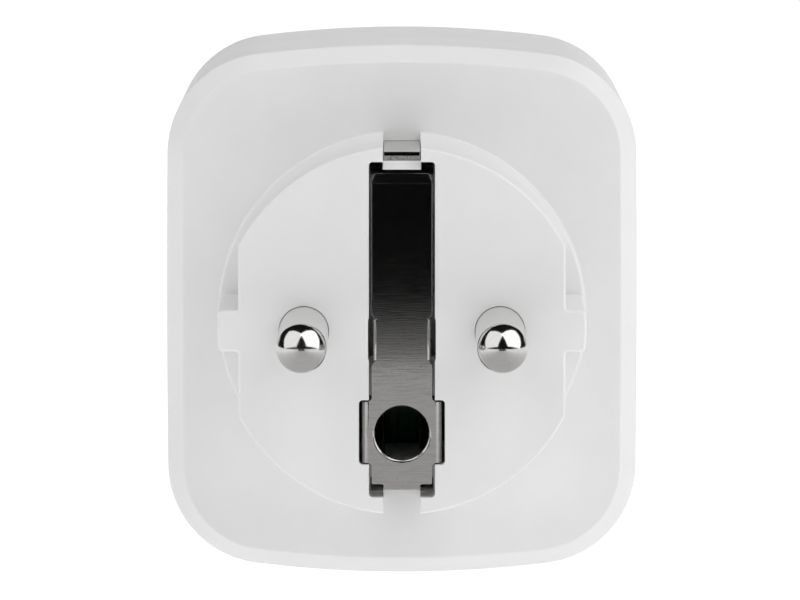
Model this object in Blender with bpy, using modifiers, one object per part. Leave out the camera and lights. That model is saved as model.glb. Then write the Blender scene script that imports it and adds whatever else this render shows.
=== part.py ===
"""Plug-in power meter: a compact metering adaptor with a two-pin plug behind and an earthed socket in front.

Blender builds in metres. Every size in this file is in millimetres, and the helpers turn it into metres.
X runs across the two pins, Y runs from the plug (-Y) to the socket (+Y), and Z is up. The origin lies
midway between the pins, on the flat end of the plug that seats against the wall socket.
"""

import math

import bmesh
import bpy
from mathutils import Matrix, Vector

MM = 0.001

# ---------------------------------------------------------------- driving dimensions
PIN_SPACING = 19.0  # centre to centre, the same for the plug and for the socket
PIN_RADIUS = 2.4
PIN_LENGTH = 19.0
PLUG_RADIUS_BACK = 18.1
PLUG_RADIUS_FACE = 17.9
PLUG_DEPTH = 17.0  # from the plug's end to the back of the case
FLAT_HALF_WIDTH = 15.85  # the two flats at the plug's sides
KEY_HALF_HEIGHT = 2.0  # the guide key left standing on each flat
GROOVE_HALF = 1.85  # half the width of the grooves for the side contacts
CASE_HALF_WIDTH = 23.35
CASE_HALF_HEIGHT = 26.3
CASE_RISE = 0.4  # the case's middle lies this far above the pins
SIDE_BOW_RADIUS = 1500.0
TOP_BOW_RADIUS = 118.0
CORNER_RADIUS = 10.0
CASE_FRONT = 55.0
CASE_WALL = 2.0
BACK_CHAMFER = 1.6
FRONT_ROUND = 2.0
FLANGE_START = 15.5  # where the plug's flats end and its round flange begins
SEAM = 48.0  # where the rear housing ends and the front housing begins
EARTH_HOLE_DROP = 10.0  # the earth hole lies this far below the pins
SOCKET_RADIUS = 19.5
SOCKET_DEPTH = 17.5
SIDE_CONTACT_HEIGHT = 17.2  # middle of the side earth strips, above and below the pins
BOARD_BACK = 21.4
BOARD_THICKNESS = 1.6
BUTTON_AT = (-16.4, 18.6)
SCREW_POSTS = ((16.0, 19.0), (16.0, -18.2), (-16.0, -18.2))
GAP = 0.25  # clearance left between pieces that touch

# ---------------------------------------------------------------- sizes that follow from them
PIN_X = PIN_SPACING / 2
CASE_BACK = PLUG_DEPTH
CASE_FLOOR = CASE_BACK + CASE_WALL
SOCKET_FLOOR = CASE_FRONT - SOCKET_DEPTH
SOCKET_FLOOR_BACK = SOCKET_FLOOR - CASE_WALL
BOARD_FRONT = BOARD_BACK + BOARD_THICKNESS
PARTS_START = BOARD_FRONT + 0.1  # where a component's body stands on the board
ALONG_Y = (math.pi / 2, 0.0, 0.0)  # turns local +Z to world -Y, and local +Y to world +Z
PATH_IN_YZ = (0.0, 0.0, math.pi / 2)  # a strip's path runs in Y and Z, its width along X
PATH_IN_XY = (-math.pi / 2, 0.0, 0.0)  # a strip's path runs in X and Y, its width along Z
ROUND = 32

for old in list(bpy.data.objects):
    bpy.data.objects.remove(old)
parts = bpy.data.collections.new("plug_in_power_meter")
cutters = bpy.data.collections.new("cutters")
for collection in (parts, cutters):
    bpy.context.scene.collection.children.link(collection)


# ---------------------------------------------------------------- materials
def material(name, colour, roughness, metallic=0.0):
    made = bpy.data.materials.new(name)
    made.use_nodes = True
    shader = made.node_tree.nodes["Principled BSDF"]
    shader.inputs["Base Color"].default_value = (*colour, 1.0)
    shader.inputs["Roughness"].default_value = roughness
    shader.inputs["Metallic"].default_value = metallic
    return made


WHITE = material("white_plastic", (0.80, 0.80, 0.80), 0.45)
NICKEL = material("nickel_plate", (0.78, 0.77, 0.75), 0.18, 1.0)
STEEL = material("spring_steel", (0.55, 0.55, 0.56), 0.3, 1.0)
BRASS = material("brass", (0.78, 0.62, 0.33), 0.3, 1.0)
COPPER = material("copper", (0.80, 0.42, 0.26), 0.35, 1.0)
BOARD = material("circuit_board", (0.03, 0.22, 0.10), 0.5)
BLACK = material("black_plastic", (0.03, 0.03, 0.03), 0.5)
RELAY_BLUE = material("relay_plastic", (0.05, 0.12, 0.35), 0.45)
SLEEVE = material("capacitor_sleeve", (0.04, 0.05, 0.09), 0.4)
FILM_YELLOW = material("film_capacitor_box", (0.80, 0.62, 0.08), 0.4)
DISC_BLUE = material("varistor_coat", (0.06, 0.16, 0.42), 0.4)
RESISTOR_GREEN = material("resistor_coat", (0.22, 0.36, 0.24), 0.5)
CLEAR = material("light_guide", (0.85, 0.88, 0.90), 0.15)


# ---------------------------------------------------------------- shape helpers
def metres(values):
    return tuple(v * MM for v in values)


def shown(name, mesh, place, turn, finish):
    """A named piece of the model, from its mesh."""
    obj = bpy.data.objects.new(name, mesh)
    obj.location = metres(place)
    obj.rotation_euler = turn
    if finish is None:
        obj.hide_render = True
        obj.display_type = "WIRE"
        cutters.objects.link(obj)
    else:
        mesh.materials.clear()
        mesh.materials.append(finish)
        parts.objects.link(obj)
    return obj


def smooth(obj, angle=30.0):
    obj.data.shade_smooth()
    obj.data.set_sharp_from_angle(angle=math.radians(angle))
    return obj


def box(name, low, high, finish=None, bevel=0.0):
    """A block between two corners, with its origin at its middle."""
    middle = [(a + b) / 2 for a, b in zip(low, high)]
    work = bmesh.new()
    bmesh.ops.create_cube(work, size=1.0)
    bmesh.ops.scale(work, vec=Vector([(b - a) * MM for a, b in zip(low, high)]), verts=work.verts)
    if bevel:
        bmesh.ops.bevel(work, geom=work.edges[:], offset=bevel * MM, segments=1, affect="EDGES")
    mesh = bpy.data.meshes.new(name)
    work.to_mesh(mesh)
    work.free()
    return shown(name, mesh, middle, (0, 0, 0), finish)


def rod(name, radius, back, front, x, z, finish=None, end_radius=None, sides=ROUND):
    """A cylinder, or a cone, along Y from back to front. end_radius is its radius at the front."""
    work = bmesh.new()
    bmesh.ops.create_cone(
        work,
        cap_ends=True,
        segments=sides,
        radius1=(radius if end_radius is None else end_radius) * MM,
        radius2=radius * MM,
        depth=(front - back) * MM,
    )
    mesh = bpy.data.meshes.new(name)
    work.to_mesh(mesh)
    work.free()
    return smooth(shown(name, mesh, (x, (back + front) / 2, z), ALONG_Y, finish))


def turned(name, profile, place, finish, turn=ALONG_Y, steps=ROUND):
    """A turned piece. The profile is (radius, height) pairs down its outer side, from the local +Z end."""
    mesh = bpy.data.meshes.new(name)
    points = [(r * MM, 0.0, h * MM) for r, h in profile]
    mesh.from_pydata(points, [(i, i + 1) for i in range(len(points) - 1)], [])
    obj = shown(name, mesh, place, turn, finish)
    screw = obj.modifiers.new("turn", "SCREW")
    screw.axis = "Z"
    screw.steps = steps
    screw.render_steps = steps
    screw.use_merge_vertices = True
    screw.merge_threshold = 0.00001
    return obj


def bowed_outline(inset=0.0, side_steps=2, corner_steps=7, top_steps=5):
    """The case's outline in X and Z: four bowed sides and four round corners that run into them."""
    side_middle = Vector((CASE_HALF_WIDTH - SIDE_BOW_RADIUS, 0))
    top_middle = Vector((0, CASE_HALF_HEIGHT - TOP_BOW_RADIUS))
    side_reach = SIDE_BOW_RADIUS - CORNER_RADIUS
    top_reach = TOP_BOW_RADIUS - CORNER_RADIUS
    between = top_middle - side_middle
    along = (side_reach**2 - top_reach**2 + between.length_squared) / (2 * between.length)
    off = math.sqrt(side_reach**2 - along**2)
    across = Vector((between.y, -between.x)).normalized()
    foot = side_middle + between.normalized() * along
    corner = max(foot + across * off, foot - across * off, key=lambda p: p.x + p.y)
    side_end = math.atan2(*(corner - side_middle).yx)
    top_start = math.atan2(*(corner - top_middle).yx)
    quarter = []
    for middle, radius, start, end, steps in (
        (side_middle, SIDE_BOW_RADIUS, 0.0, side_end, side_steps),
        (corner, CORNER_RADIUS, side_end, top_start, corner_steps),
        (top_middle, TOP_BOW_RADIUS, top_start, math.pi / 2, top_steps),
    ):
        for i in range(steps):
            angle = start + (end - start) * i / steps
            reach = radius - inset
            quarter.append(middle + Vector((math.cos(angle), math.sin(angle))) * reach)
    quarter.append(Vector((0, CASE_HALF_HEIGHT - inset)))
    left = [Vector((-p.x, p.y)) for p in reversed(quarter[:-1])]
    top_half = quarter + left
    bottom_half = [Vector((-p.x, -p.y)) for p in top_half[1:-1]]
    return [(p.x, p.y + CASE_RISE) for p in top_half + bottom_half]


def circle(radius, x=0.0, z=0.0, sides=24):
    """Points round a circle in X and Z."""
    return [
        (x + radius * math.cos(math.tau * i / sides), z + radius * math.sin(math.tau * i / sides))
        for i in range(sides)
    ]


def oblong(half_width, half_height, x=0.0, z=0.0):
    """The four corners of a rectangle in X and Z."""
    return [(x + sx * half_width, z + sz * half_height) for sx, sz in ((1, 1), (-1, 1), (-1, -1), (1, -1))]


def plate(name, outline, back, front, finish=None, holes=()):
    """A flat piece with its outline in X and Z, from back to front along Y."""
    flat = bpy.data.curves.new(name, "CURVE")
    flat.dimensions = "2D"
    flat.fill_mode = "BOTH"
    flat.extrude = (front - back) / 2 * MM
    for ring in (outline, *holes):
        spline = flat.splines.new("POLY")
        spline.points.add(len(ring) - 1)
        for point, (x, z) in zip(spline.points, ring):
            point.co = (x * MM, z * MM, 0.0, 1.0)
        spline.use_cyclic_u = True
    guide = bpy.data.objects.new(name + "_outline", flat)
    bpy.context.scene.collection.objects.link(guide)
    evaluated = guide.evaluated_get(bpy.context.evaluated_depsgraph_get())
    mesh = bpy.data.meshes.new_from_object(evaluated)
    bpy.data.objects.remove(guide)
    work = bmesh.new()
    work.from_mesh(mesh)
    bmesh.ops.remove_doubles(work, verts=work.verts, dist=0.000001)
    bmesh.ops.recalc_face_normals(work, faces=work.faces)
    work.to_mesh(mesh)
    work.free()
    mesh.name = name
    return shown(name, mesh, (0, (back + front) / 2, 0), ALONG_Y, finish)


def bevel_end(obj, local_height, size, segments):
    """Bevels the rim of a plate's end that lies at this height along its own Z."""
    work = bmesh.new()
    work.from_mesh(obj.data)
    rim = [
        e
        for e in work.edges
        if all(abs(v.co.z / MM - local_height) < 0.01 for v in e.verts)
        and e.calc_face_angle(0) > math.radians(60)
    ]
    bmesh.ops.bevel(work, geom=rim, offset=size * MM, segments=segments, affect="EDGES", profile=0.5)
    work.to_mesh(obj.data)
    work.free()


def rounded_path(points, radius, steps=4):
    """The points of a bent strip's middle line, with every inner corner turned into an arc."""
    path = [Vector(points[0])]
    for before, here, after in zip(points, points[1:], points[2:]):
        here = Vector(here)
        back, on = (Vector(before) - here), (Vector(after) - here)
        half = back.angle(on) / 2
        reach = min(radius / math.tan(half), back.length / 2.1, on.length / 2.1)
        start, end = here + back.normalized() * reach, here + on.normalized() * reach
        for i in range(steps + 1):
            t = i / steps
            path.append(start * (1 - t) ** 2 + here * 2 * t * (1 - t) + end * t**2)
    path.append(Vector(points[-1]))
    return path


def strip(name, points, width, thickness, place, turn, finish, radius=0.9):
    """A bent metal strip: an open ribbon along a path, given its thickness by Solidify."""
    path = rounded_path(points, radius)
    mesh = bpy.data.meshes.new(name)
    verts = [(p.x * MM, side * width / 2 * MM, p.y * MM) for p in path for side in (-1, 1)]
    faces = [(2 * i, 2 * i + 1, 2 * i + 3, 2 * i + 2) for i in range(len(path) - 1)]
    mesh.from_pydata(verts, [], faces)
    obj = shown(name, mesh, place, turn, finish)
    solid = obj.modifiers.new("thickness", "SOLIDIFY")
    solid.thickness = thickness * MM
    solid.offset = 0.0
    solid.use_even_offset = True
    return obj


def boolean(target, other, operation):
    step = target.modifiers.new(operation.lower(), "BOOLEAN")
    step.operation = operation
    step.solver = "EXACT"
    step.object = other


def cut(target, *others):
    for other in others:
        boolean(target, other, "DIFFERENCE")


def join(target, *others):
    for other in others:
        boolean(target, other, "UNION")


# ---------------------------------------------------------------- rear housing
def rear_housing():
    """The deep white shell behind, moulded in one with the round plug base."""
    shell = plate("rear_housing", bowed_outline(), CASE_BACK, SEAM - GAP / 2, WHITE)
    half_depth = (SEAM - GAP / 2 - CASE_BACK) / 2
    bevel_end(shell, half_depth, BACK_CHAMFER, 1)
    back, face = PLUG_RADIUS_BACK, PLUG_RADIUS_FACE
    join(shell, rod("base_round", face, 0, CASE_BACK + 0.5, 0, 0, end_radius=back, sides=64))
    cut(shell, plate("case_hollow", bowed_outline(CASE_WALL), CASE_FLOOR, SEAM + 1))
    for side in (-1, 1):
        for level in (-1, 1):
            x = sorted((side * FLAT_HALF_WIDTH, side * 20))
            z = sorted((level * KEY_HALF_HEIGHT, level * 12))
            cut(shell, box(f"flat_{side}_{level}", (x[0], -1, z[0]), (x[1], FLANGE_START, z[1])))
        x = sorted((side * 5.4, side * 14.0))
        cut(shell, box(f"pocket_{side}", (x[0], 2.2, -6.0), (x[1], CASE_FLOOR + 1, 11.0)))
        boss = rod(f"pin_boss_{side}", 4.0, 1.5, 9.0, side * PIN_X, 0)
        join(shell, boss)
        cut(shell, rod(f"pin_bore_{side}", PIN_RADIUS + 0.15, -1, 10, side * PIN_X, 0))
    cut(
        shell,
        box("bar_slot", (-3.2, -1, -16.2), (3.2, 2.2, 16.4)),
        box("key_slot", (-3.3, -1, -2.9), (3.3, 3.4, 1.6)),
        box("earth_pocket", (-4.15, -1, -13.1), (4.15, CASE_FLOOR + 1, -6.7)),
        box("upper_groove", (-GROOVE_HALF, -1, 16.73), (GROOVE_HALF, CASE_FLOOR + 1, 18.6)),
        box("lower_groove", (-GROOVE_HALF, -1, -18.6), (GROOVE_HALF, CASE_FLOOR + 1, -14.9)),
    )
    ledge = box("ledge", (-GROOVE_HALF, 0.85, 15.62), (GROOVE_HALF, 2.5, 16.73))
    slope = box("ledge_slope", (-3, -1, -1), (3, 1, 1))
    slope.location = metres((0, 0.54, 16.79))
    slope.rotation_euler = (math.pi / 4, 0, 0)
    cut(ledge, slope)
    join(shell, ledge)


# ---------------------------------------------------------------- front housing
def front_housing():
    """The white front: face, skirt, socket well, its floor with two holes, and three screw posts."""
    shell = plate("front_housing", bowed_outline(), SEAM + GAP / 2, CASE_FRONT, WHITE)
    bevel_end(shell, -(CASE_FRONT - SEAM - GAP / 2) / 2, FRONT_ROUND, 3)
    cut(shell, plate("skirt_hollow", bowed_outline(CASE_WALL), SEAM - 1, CASE_FRONT - CASE_WALL))
    lip_inside = bowed_outline(CASE_WALL + 1.2)
    lip = plate("lip", bowed_outline(CASE_WALL + GAP), SEAM - 3, SEAM + 1.9, holes=[lip_inside])
    ledge_inside = bowed_outline(CASE_WALL + 1.1)
    ledge = plate("lip_ledge", bowed_outline(CASE_WALL - 0.5), SEAM + 0.6, SEAM + 1.8, holes=[ledge_inside])
    join(shell, lip, ledge)
    join(shell, rod("well_outside", SOCKET_RADIUS + 1.4, SOCKET_FLOOR_BACK, CASE_FRONT - 1, 0, 0, sides=64))
    for x, z in SCREW_POSTS:
        join(shell, rod(f"post_{x:.0f}_{z:.0f}", 2.2, BOARD_FRONT + GAP, CASE_FRONT - 1, x, z, sides=16))
    cut(shell, well_cutter())
    for side in (-1, 1):
        back, front = SOCKET_FLOOR_BACK - 1, SOCKET_FLOOR + 1
        cut(shell, rod(f"socket_hole_{side}", 2.8, back, front, side * PIN_X, 0, sides=24))
        z = sorted((side * 17.0, side * 21.6))
        cut(shell, box(f"clip_window_{side}", (-2.4, 38.2, z[0]), (2.4, 51.8, z[1])))
    for x, z in SCREW_POSTS:
        cut(shell, rod(f"post_bore_{x:.0f}_{z:.0f}", 1.3, BOARD_FRONT - 1, 34, x, z, sides=16))
    cut(shell, rod("button_hole", 3.7, CASE_FRONT - 4, CASE_FRONT + 1, *BUTTON_AT, sides=24))


def well_cutter():
    """The space that a plug enters: a round well with a guide at each side, grooved for the plug's key."""
    guide_x, groove_x = 16.4, 18.6
    mouth_half, groove_half = 2.45, 2.25
    rim = [p for p in circle(SOCKET_RADIUS, sides=96) if abs(p[0]) < guide_x]
    meet = math.sqrt(SOCKET_RADIUS**2 - guide_x**2)

    def guide(side):
        """One guide's edge, walked anticlockwise as seen with Z up and X to the right."""
        walk = [
            (guide_x, -meet),
            (guide_x, -mouth_half),
            (groove_x, -groove_half),
            (groove_x, groove_half),
            (guide_x, mouth_half),
            (guide_x, meet),
        ]
        return [(side * x, side * z) for x, z in walk]

    upper = [p for p in rim if p[1] > 0]
    lower = [p for p in rim if p[1] < 0]
    outline = guide(1) + upper + guide(-1) + lower
    return plate("well", outline, SOCKET_FLOOR, CASE_FRONT + 1)


# ---------------------------------------------------------------- plug pins and earth contacts
def plug_pins():
    """Two round nickel-plated pins, each with a collar and a thin tail behind the plug's face."""
    tip = PIN_LENGTH - PIN_RADIUS
    nose = [
        (PIN_RADIUS * math.sin(math.pi / 2 * i / 6), tip + PIN_RADIUS * math.cos(math.pi / 2 * i / 6))
        for i in range(7)
    ]
    nose[0] = (0.0, PIN_LENGTH)
    shank = [(PIN_RADIUS, -9.3), (3.2, -9.3), (3.2, -10.4), (1.5, -10.4), (1.5, -14.2), (0.0, -14.2)]
    for name, side in (("live_pin", 1), ("neutral_pin", -1)):
        turned(name, nose + shank, (side * PIN_X, 0, 0), NICKEL, steps=24)


def pin_links():
    """Brass straps that carry the current from each pin's tail to the board."""
    for name, side in (("live_link", 1), ("neutral_link", -1)):
        strap = strip(
            name, [(11.2, -2.6), (11.2, 5.4), (21.0, 5.4)], 4.4, 0.8, (side * PIN_X, 0, 0), PATH_IN_YZ, BRASS
        )
        cut(strap, rod(name + "_eye", 1.75, 9, 13, side * PIN_X, 0, sides=16))


def earth_bar():
    """The stamped bar across the plug's end: earth hole, folded ears round it, and the lower side contact."""
    path = [
        (0.7, 15.22), (0.6, 14.3), (0.6, -15.27), (2.0, -15.3), (15.6, -16.6),
        (19.6, -SIDE_CONTACT_HEIGHT), (29.0, -SIDE_CONTACT_HEIGHT),
    ]  # fmt: skip
    bar = strip("earth_bar", path, 5.85, 0.6, (0, 0, 0), PATH_IN_YZ, NICKEL, radius=0.7)
    for side in (-1, 1):
        x = sorted((side * 1.75, side * 5))
        cut(bar, box(f"neck_{side}", (x[0], -1, -19), (x[1], 31, -14.9)))
        x = sorted((side * 2.45, side * 3.05))
        join(bar, box(f"tab_{side}", (x[0], 0.35, -2.85), (x[1], 2.9, 1.1)))
    join(bar, box("hole_field", (-3.9, 0.33, -12.9), (3.9, 0.87, -6.95)))
    for side in (-1, 1):
        leaf = [(side * 3.6, 0.55), (side * 3.6, 3.0), (side * 1.75, 6.6), (side * 2.6, 10.0)]
        spring = strip(
            f"leaf_{side}", leaf, 5.6, 0.5, (0, 0, -(EARTH_HOLE_DROP - 0.1)), PATH_IN_XY, None, radius=2.0
        )
        join(bar, spring)
    cut(bar, rod("earth_hole", 2.6, -1, 2, 0, -EARTH_HOLE_DROP, sides=24))
    cut(bar, upright("bar_rivet_hole", 1.1, -19, -16, 27.0))


def upright(name, radius, bottom, top, y, finish=None, sides=16):
    """A cylinder along Z, on the middle plane."""
    work = bmesh.new()
    bmesh.ops.create_cone(
        work,
        cap_ends=True,
        segments=sides,
        radius1=radius * MM,
        radius2=radius * MM,
        depth=(top - bottom) * MM,
    )
    mesh = bpy.data.meshes.new(name)
    work.to_mesh(mesh)
    work.free()
    return smooth(shown(name, mesh, (0, y, (bottom + top) / 2), (0, 0, 0), finish))


def upper_side_contact():
    """The upper side earth contact: a strip from the ledge over the bar, back along the plug."""
    path = [(1.6, 17.05), (16.5, 17.05), (19.6, SIDE_CONTACT_HEIGHT), (29.0, SIDE_CONTACT_HEIGHT)]
    contact = strip("upper_side_contact", path, 3.5, 0.5, (0, 0, 0), PATH_IN_YZ, NICKEL, radius=0.8)
    cut(contact, upright("upper_rivet_hole", 1.1, 16, 19, 27.0))


def socket_earth_clips():
    """Spring strips that reach round the socket well and press on the sides of a plug put into it."""
    rail = SIDE_CONTACT_HEIGHT + 0.9
    for name, side in (("upper_earth_clip", 1), ("lower_earth_clip", -1)):
        path = [
            (24.2, rail), (31.0, rail), (33.6, 21.6), (51.0, 21.6),
            (49.6, 19.4), (45.0, 17.0), (41.6, 18.2), (39.4, 20.6),
        ]  # fmt: skip
        path = [(y, side * z) for y, z in path]
        clip = strip(name, path, 3.6, 0.6, (0, 0, 0), PATH_IN_YZ, STEEL, radius=0.8)
        z = sorted((side * 16, side * 20))
        cut(clip, upright(name + "_hole", 1.1, z[0], z[1], 27.0))


def earth_rivets():
    """A rivet at each end joins the plug's earth strip to the socket's."""
    middle = SIDE_CONTACT_HEIGHT + 0.45
    head, shank = 1.6, 0.85
    profile = [(0, 1.5), (head, 1.5), (head, 1.0), (shank, 1.0)]
    profile += [(r, -h) for r, h in reversed(profile)]
    for name, side in (("upper_earth_rivet", 1), ("lower_earth_rivet", -1)):
        turned(name, profile, (0, 27.0, side * middle), BRASS, turn=(0, 0, 0), steps=16)


# ---------------------------------------------------------------- socket contacts and child shutter
def socket_contacts():
    """Split sleeves that grip the pins of a plug put into the socket."""
    outer, inner, back, front = 3.2, 2.3, BOARD_FRONT + GAP, 30.2
    profile = [(inner, -back), (inner + 0.3, -front), (outer, -front), (outer, -back), (inner, -back)]
    for name, side in (("live_contact", 1), ("neutral_contact", -1)):
        sleeve = turned(name, profile[::-1], (side * PIN_X, 0, 0), BRASS, steps=24)
        cut(
            sleeve,
            box(name + "_slit_a", (side * PIN_X - 0.35, 26, -5), (side * PIN_X + 0.35, 32, 5)),
            box(name + "_slit_b", (side * PIN_X - 5, 26, -0.35), (side * PIN_X + 5, 32, 0.35)),
        )


SHUTTER_BACK, SHUTTER_FRONT = 32.4, 35.2
SHUTTER_HALF_HEIGHT = 3.3


def shutter():
    """The sliding child guard: a bar that covers both socket holes until a plug wedges it down."""
    low = (-12.4, SHUTTER_BACK, -SHUTTER_HALF_HEIGHT)
    high = (12.4, SHUTTER_FRONT, SHUTTER_HALF_HEIGHT)
    bar = box("shutter", low, high, WHITE)
    for side in (-1, 1):
        ramp = box(f"ramp_{side}", (side * PIN_X - 2.6, 0, -2), (side * PIN_X + 2.6, 2.4, 2))
        ramp.location.y = (SHUTTER_FRONT + 0.1) * MM
        ramp.location.z = (SHUTTER_HALF_HEIGHT - 0.4) * MM
        ramp.rotation_euler = (math.radians(-35), 0, 0)
        cut(bar, ramp)
    cut(bar, box("spring_seat", (-1.7, SHUTTER_BACK - 1, -4), (1.7, SHUTTER_FRONT + 1, -2.3)))


def shutter_carrier():
    """The tray behind the socket floor in which the shutter slides."""
    back, front = 30.5, SOCKET_FLOOR_BACK - GAP
    tray = box("shutter_carrier", (-13.9, back, -14.6), (13.9, front, 4.6), WHITE)
    cut(
        tray,
        box("slide_room", (-12.65, 32.1, -9.8), (12.65, front + 1, 3.6)),
        box("spring_room", (-2.0, 32.1, -13.6), (2.0, front + 1, -9)),
        box("corner_relief_a", (-15, back - 1, -16), (-4.5, front + 1, -10.8)),
        box("corner_relief_b", (4.5, back - 1, -16), (15, front + 1, -10.8)),
    )
    for side in (-1, 1):
        cut(tray, rod(f"carrier_hole_{side}", 2.9, back - 1, 33, side * PIN_X, 0, sides=24))


def shutter_spring():
    """The coil that pushes the shutter back up."""
    coil_radius, wire, turns, low, high = 1.15, 0.17, 7, -13.2, -2.6
    middle_y = (SHUTTER_BACK + SHUTTER_FRONT) / 2
    steps = turns * 10
    curve = bpy.data.curves.new("shutter_spring", "CURVE")
    curve.dimensions = "3D"
    curve.bevel_depth = wire * MM
    curve.bevel_resolution = 1
    curve.use_fill_caps = True
    spline = curve.splines.new("POLY")
    spline.points.add(steps)
    for i, point in enumerate(spline.points):
        angle = math.tau * turns * i / steps
        height = low + (high - low) * i / steps
        at = (coil_radius * math.cos(angle), middle_y + coil_radius * math.sin(angle), height)
        point.co = (*metres(at), 1.0)
    curve.materials.append(STEEL)
    spring = bpy.data.objects.new("shutter_spring", curve)
    parts.objects.link(spring)


# ---------------------------------------------------------------- button, switch and light
def power_button():
    """The round cap at the front's corner, on a long stem that reaches the switch on the board."""
    face, reach = 55.4, 27.25
    profile = [
        (0, face), (1.6, face - 0.05), (2.3, face - 0.25), (2.6, face - 0.7), (2.6, 50.8),
        (1.2, 50.8), (1.2, reach), (0, reach),
    ]  # fmt: skip
    profile = [(r, -y) for r, y in profile]
    turned("power_button", profile[::-1], (BUTTON_AT[0], 0, BUTTON_AT[1]), WHITE, steps=24)


def light_ring():
    """The clear ring round the button, with a leg that brings the light up from the board."""
    x, z = BUTTON_AT
    profile = [(3.45, 51.4), (3.45, CASE_FRONT), (2.85, CASE_FRONT), (2.85, 51.4), (3.45, 51.4)]
    ring = turned("light_ring", [(r, -y) for r, y in profile], (x, 0, z), CLEAR, steps=24)
    leg_x, leg_z = x + 3.6, z + 2.6
    bridge = box("ring_bridge", (-0.9, 51.6, -0.7), (1.3, 52.6, 0.7))
    bridge.location.x = (x + 3.36) * MM
    bridge.location.z = (z + 2.43) * MM
    bridge.rotation_euler = (0, -math.atan2(2.6, 3.6), 0)
    join(ring, bridge)
    join(ring, rod("ring_leg", 0.8, 24.6, 52.5, leg_x, leg_z, sides=12))
    box("status_led", (leg_x - 0.8, PARTS_START, leg_z - 0.8), (leg_x + 0.8, 24.2, leg_z + 0.8), CLEAR)


def tact_switch():
    """The small push switch under the button's stem, with its own plunger."""
    x, z = BUTTON_AT
    body = box("switch_body", (x - 2.2, PARTS_START, z - 2.2), (x + 2.2, 26.4, z + 2.2), BLACK, bevel=0.2)
    cut(body, rod("plunger_bore", 1.25, 24.6, 28, x, z, sides=16))
    rod("switch_plunger", 1.0, 25.4, 27.0, x, z, BLACK, sides=16)


# ---------------------------------------------------------------- board and what stands on it
def main_board():
    """The circuit board across the case, with holes for pins, earth strips and screws."""
    holes = [circle(3.0, side * PIN_X, 0, 20) for side in (-1, 1)]
    holes += [oblong(2.4, 1.4, 0, side * (SIDE_CONTACT_HEIGHT + 0.2)) for side in (-1, 1)]
    holes += [circle(1.4, x, z, 12) for x, z in SCREW_POSTS]
    plate("main_board", bowed_outline(CASE_WALL + 0.6), BOARD_BACK, BOARD_FRONT, BOARD, holes)


def board_screws():
    """Pan-head screws that hold the board to the front housing's posts."""
    head, shank = 2.1, 1.05
    profile = [
        (0, -19.6), (1.6, -19.6), (head, -20.2), (head, -21.1),
        (shank, -21.1), (shank, -31.0), (0, -31.8),
    ]  # fmt: skip
    for number, (x, z) in enumerate(SCREW_POSTS, 1):
        turned(f"board_screw_{number}", profile, (x, 0, z), STEEL, steps=16)


def relay():
    """The load relay: base, cover, coil, yoke, fixed contact, and an armature that rocks on the yoke."""
    low_z, high_z, half = 6.0, 15.8, 9.2
    base_front = 24.3
    box("relay_base", (-half, PARTS_START, low_z), (half, base_front, high_z), BLACK)
    cover = box("relay_cover", (-half, base_front + GAP, low_z), (half, 35.1, high_z), RELAY_BLUE)
    cut(cover, box("relay_room", (-half + 0.7, 20, low_z + 0.7), (half - 0.7, 34.4, high_z - 0.7)))
    middle_z = (low_z + high_z) / 2
    bobbin = [
        (0, 31.1), (1.3, 31.1), (1.3, 30.7), (3.7, 30.7), (3.7, 30.0), (3.3, 30.0), (3.3, 25.5),
        (3.7, 25.5), (3.7, 24.7), (0, 24.7),
    ]  # fmt: skip
    turned("relay_coil", [(r, -y) for r, y in bobbin[::-1]], (4.3, 0, middle_z), COPPER, steps=24)
    box("relay_yoke", (-0.9, 24.7, 7.6), (-0.1, 31.2, 14.2), STEEL)
    leg = [(-8.1, 24.7), (-8.1, 33.7), (-5.6, 33.7)]
    strip("relay_fixed_contact", leg, 3.0, 0.5, (0, 0, middle_z), PATH_IN_XY, BRASS, radius=0.6)
    pivot = Vector(metres((-0.5, 31.35, middle_z)))
    armature = box("relay_armature", (-7.5, 31.6, 8.9), (7.4, 32.3, 12.9), STEEL)
    contact = rod("moving_contact", 0.9, 32.1, 32.95, -6.4, middle_z, sides=16)
    join(armature, contact)
    armature.data.transform(Matrix.Translation(armature.location - pivot))
    armature.location = pivot


def radio_module():
    """The small upright board that sends the readings, with its metal can."""
    box("radio_board", (-8.0, PARTS_START, -21.4), (8.0, 31.6, -20.6), BOARD)
    box("radio_shield", (-6.0, 24.2, -23.2), (6.0, 30.6, -21.65), NICKEL, bevel=0.3)


def shunt():
    """The measuring shunt: a low, broad staple of resistance metal that carries the whole load current."""
    path = [(-3.6, PARTS_START), (-3.6, 25.6), (3.6, 25.6), (3.6, PARTS_START)]
    strip("current_shunt", path, 2.6, 0.9, (0, 0, -2.6), PATH_IN_XY, COPPER, radius=1.0)


def can(name, radius, top, x, z, finish):
    """A round can on the board, with its rolled neck near the foot."""
    profile = [
        (0, top), (radius - 0.3, top), (radius, top - 0.3), (radius, 25.2), (radius - 0.35, 24.8),
        (radius, 24.4), (radius, PARTS_START), (0, PARTS_START),
    ]  # fmt: skip
    turned(name, [(r, -y) for r, y in profile[::-1]], (x, 0, z), finish, steps=20)


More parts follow.
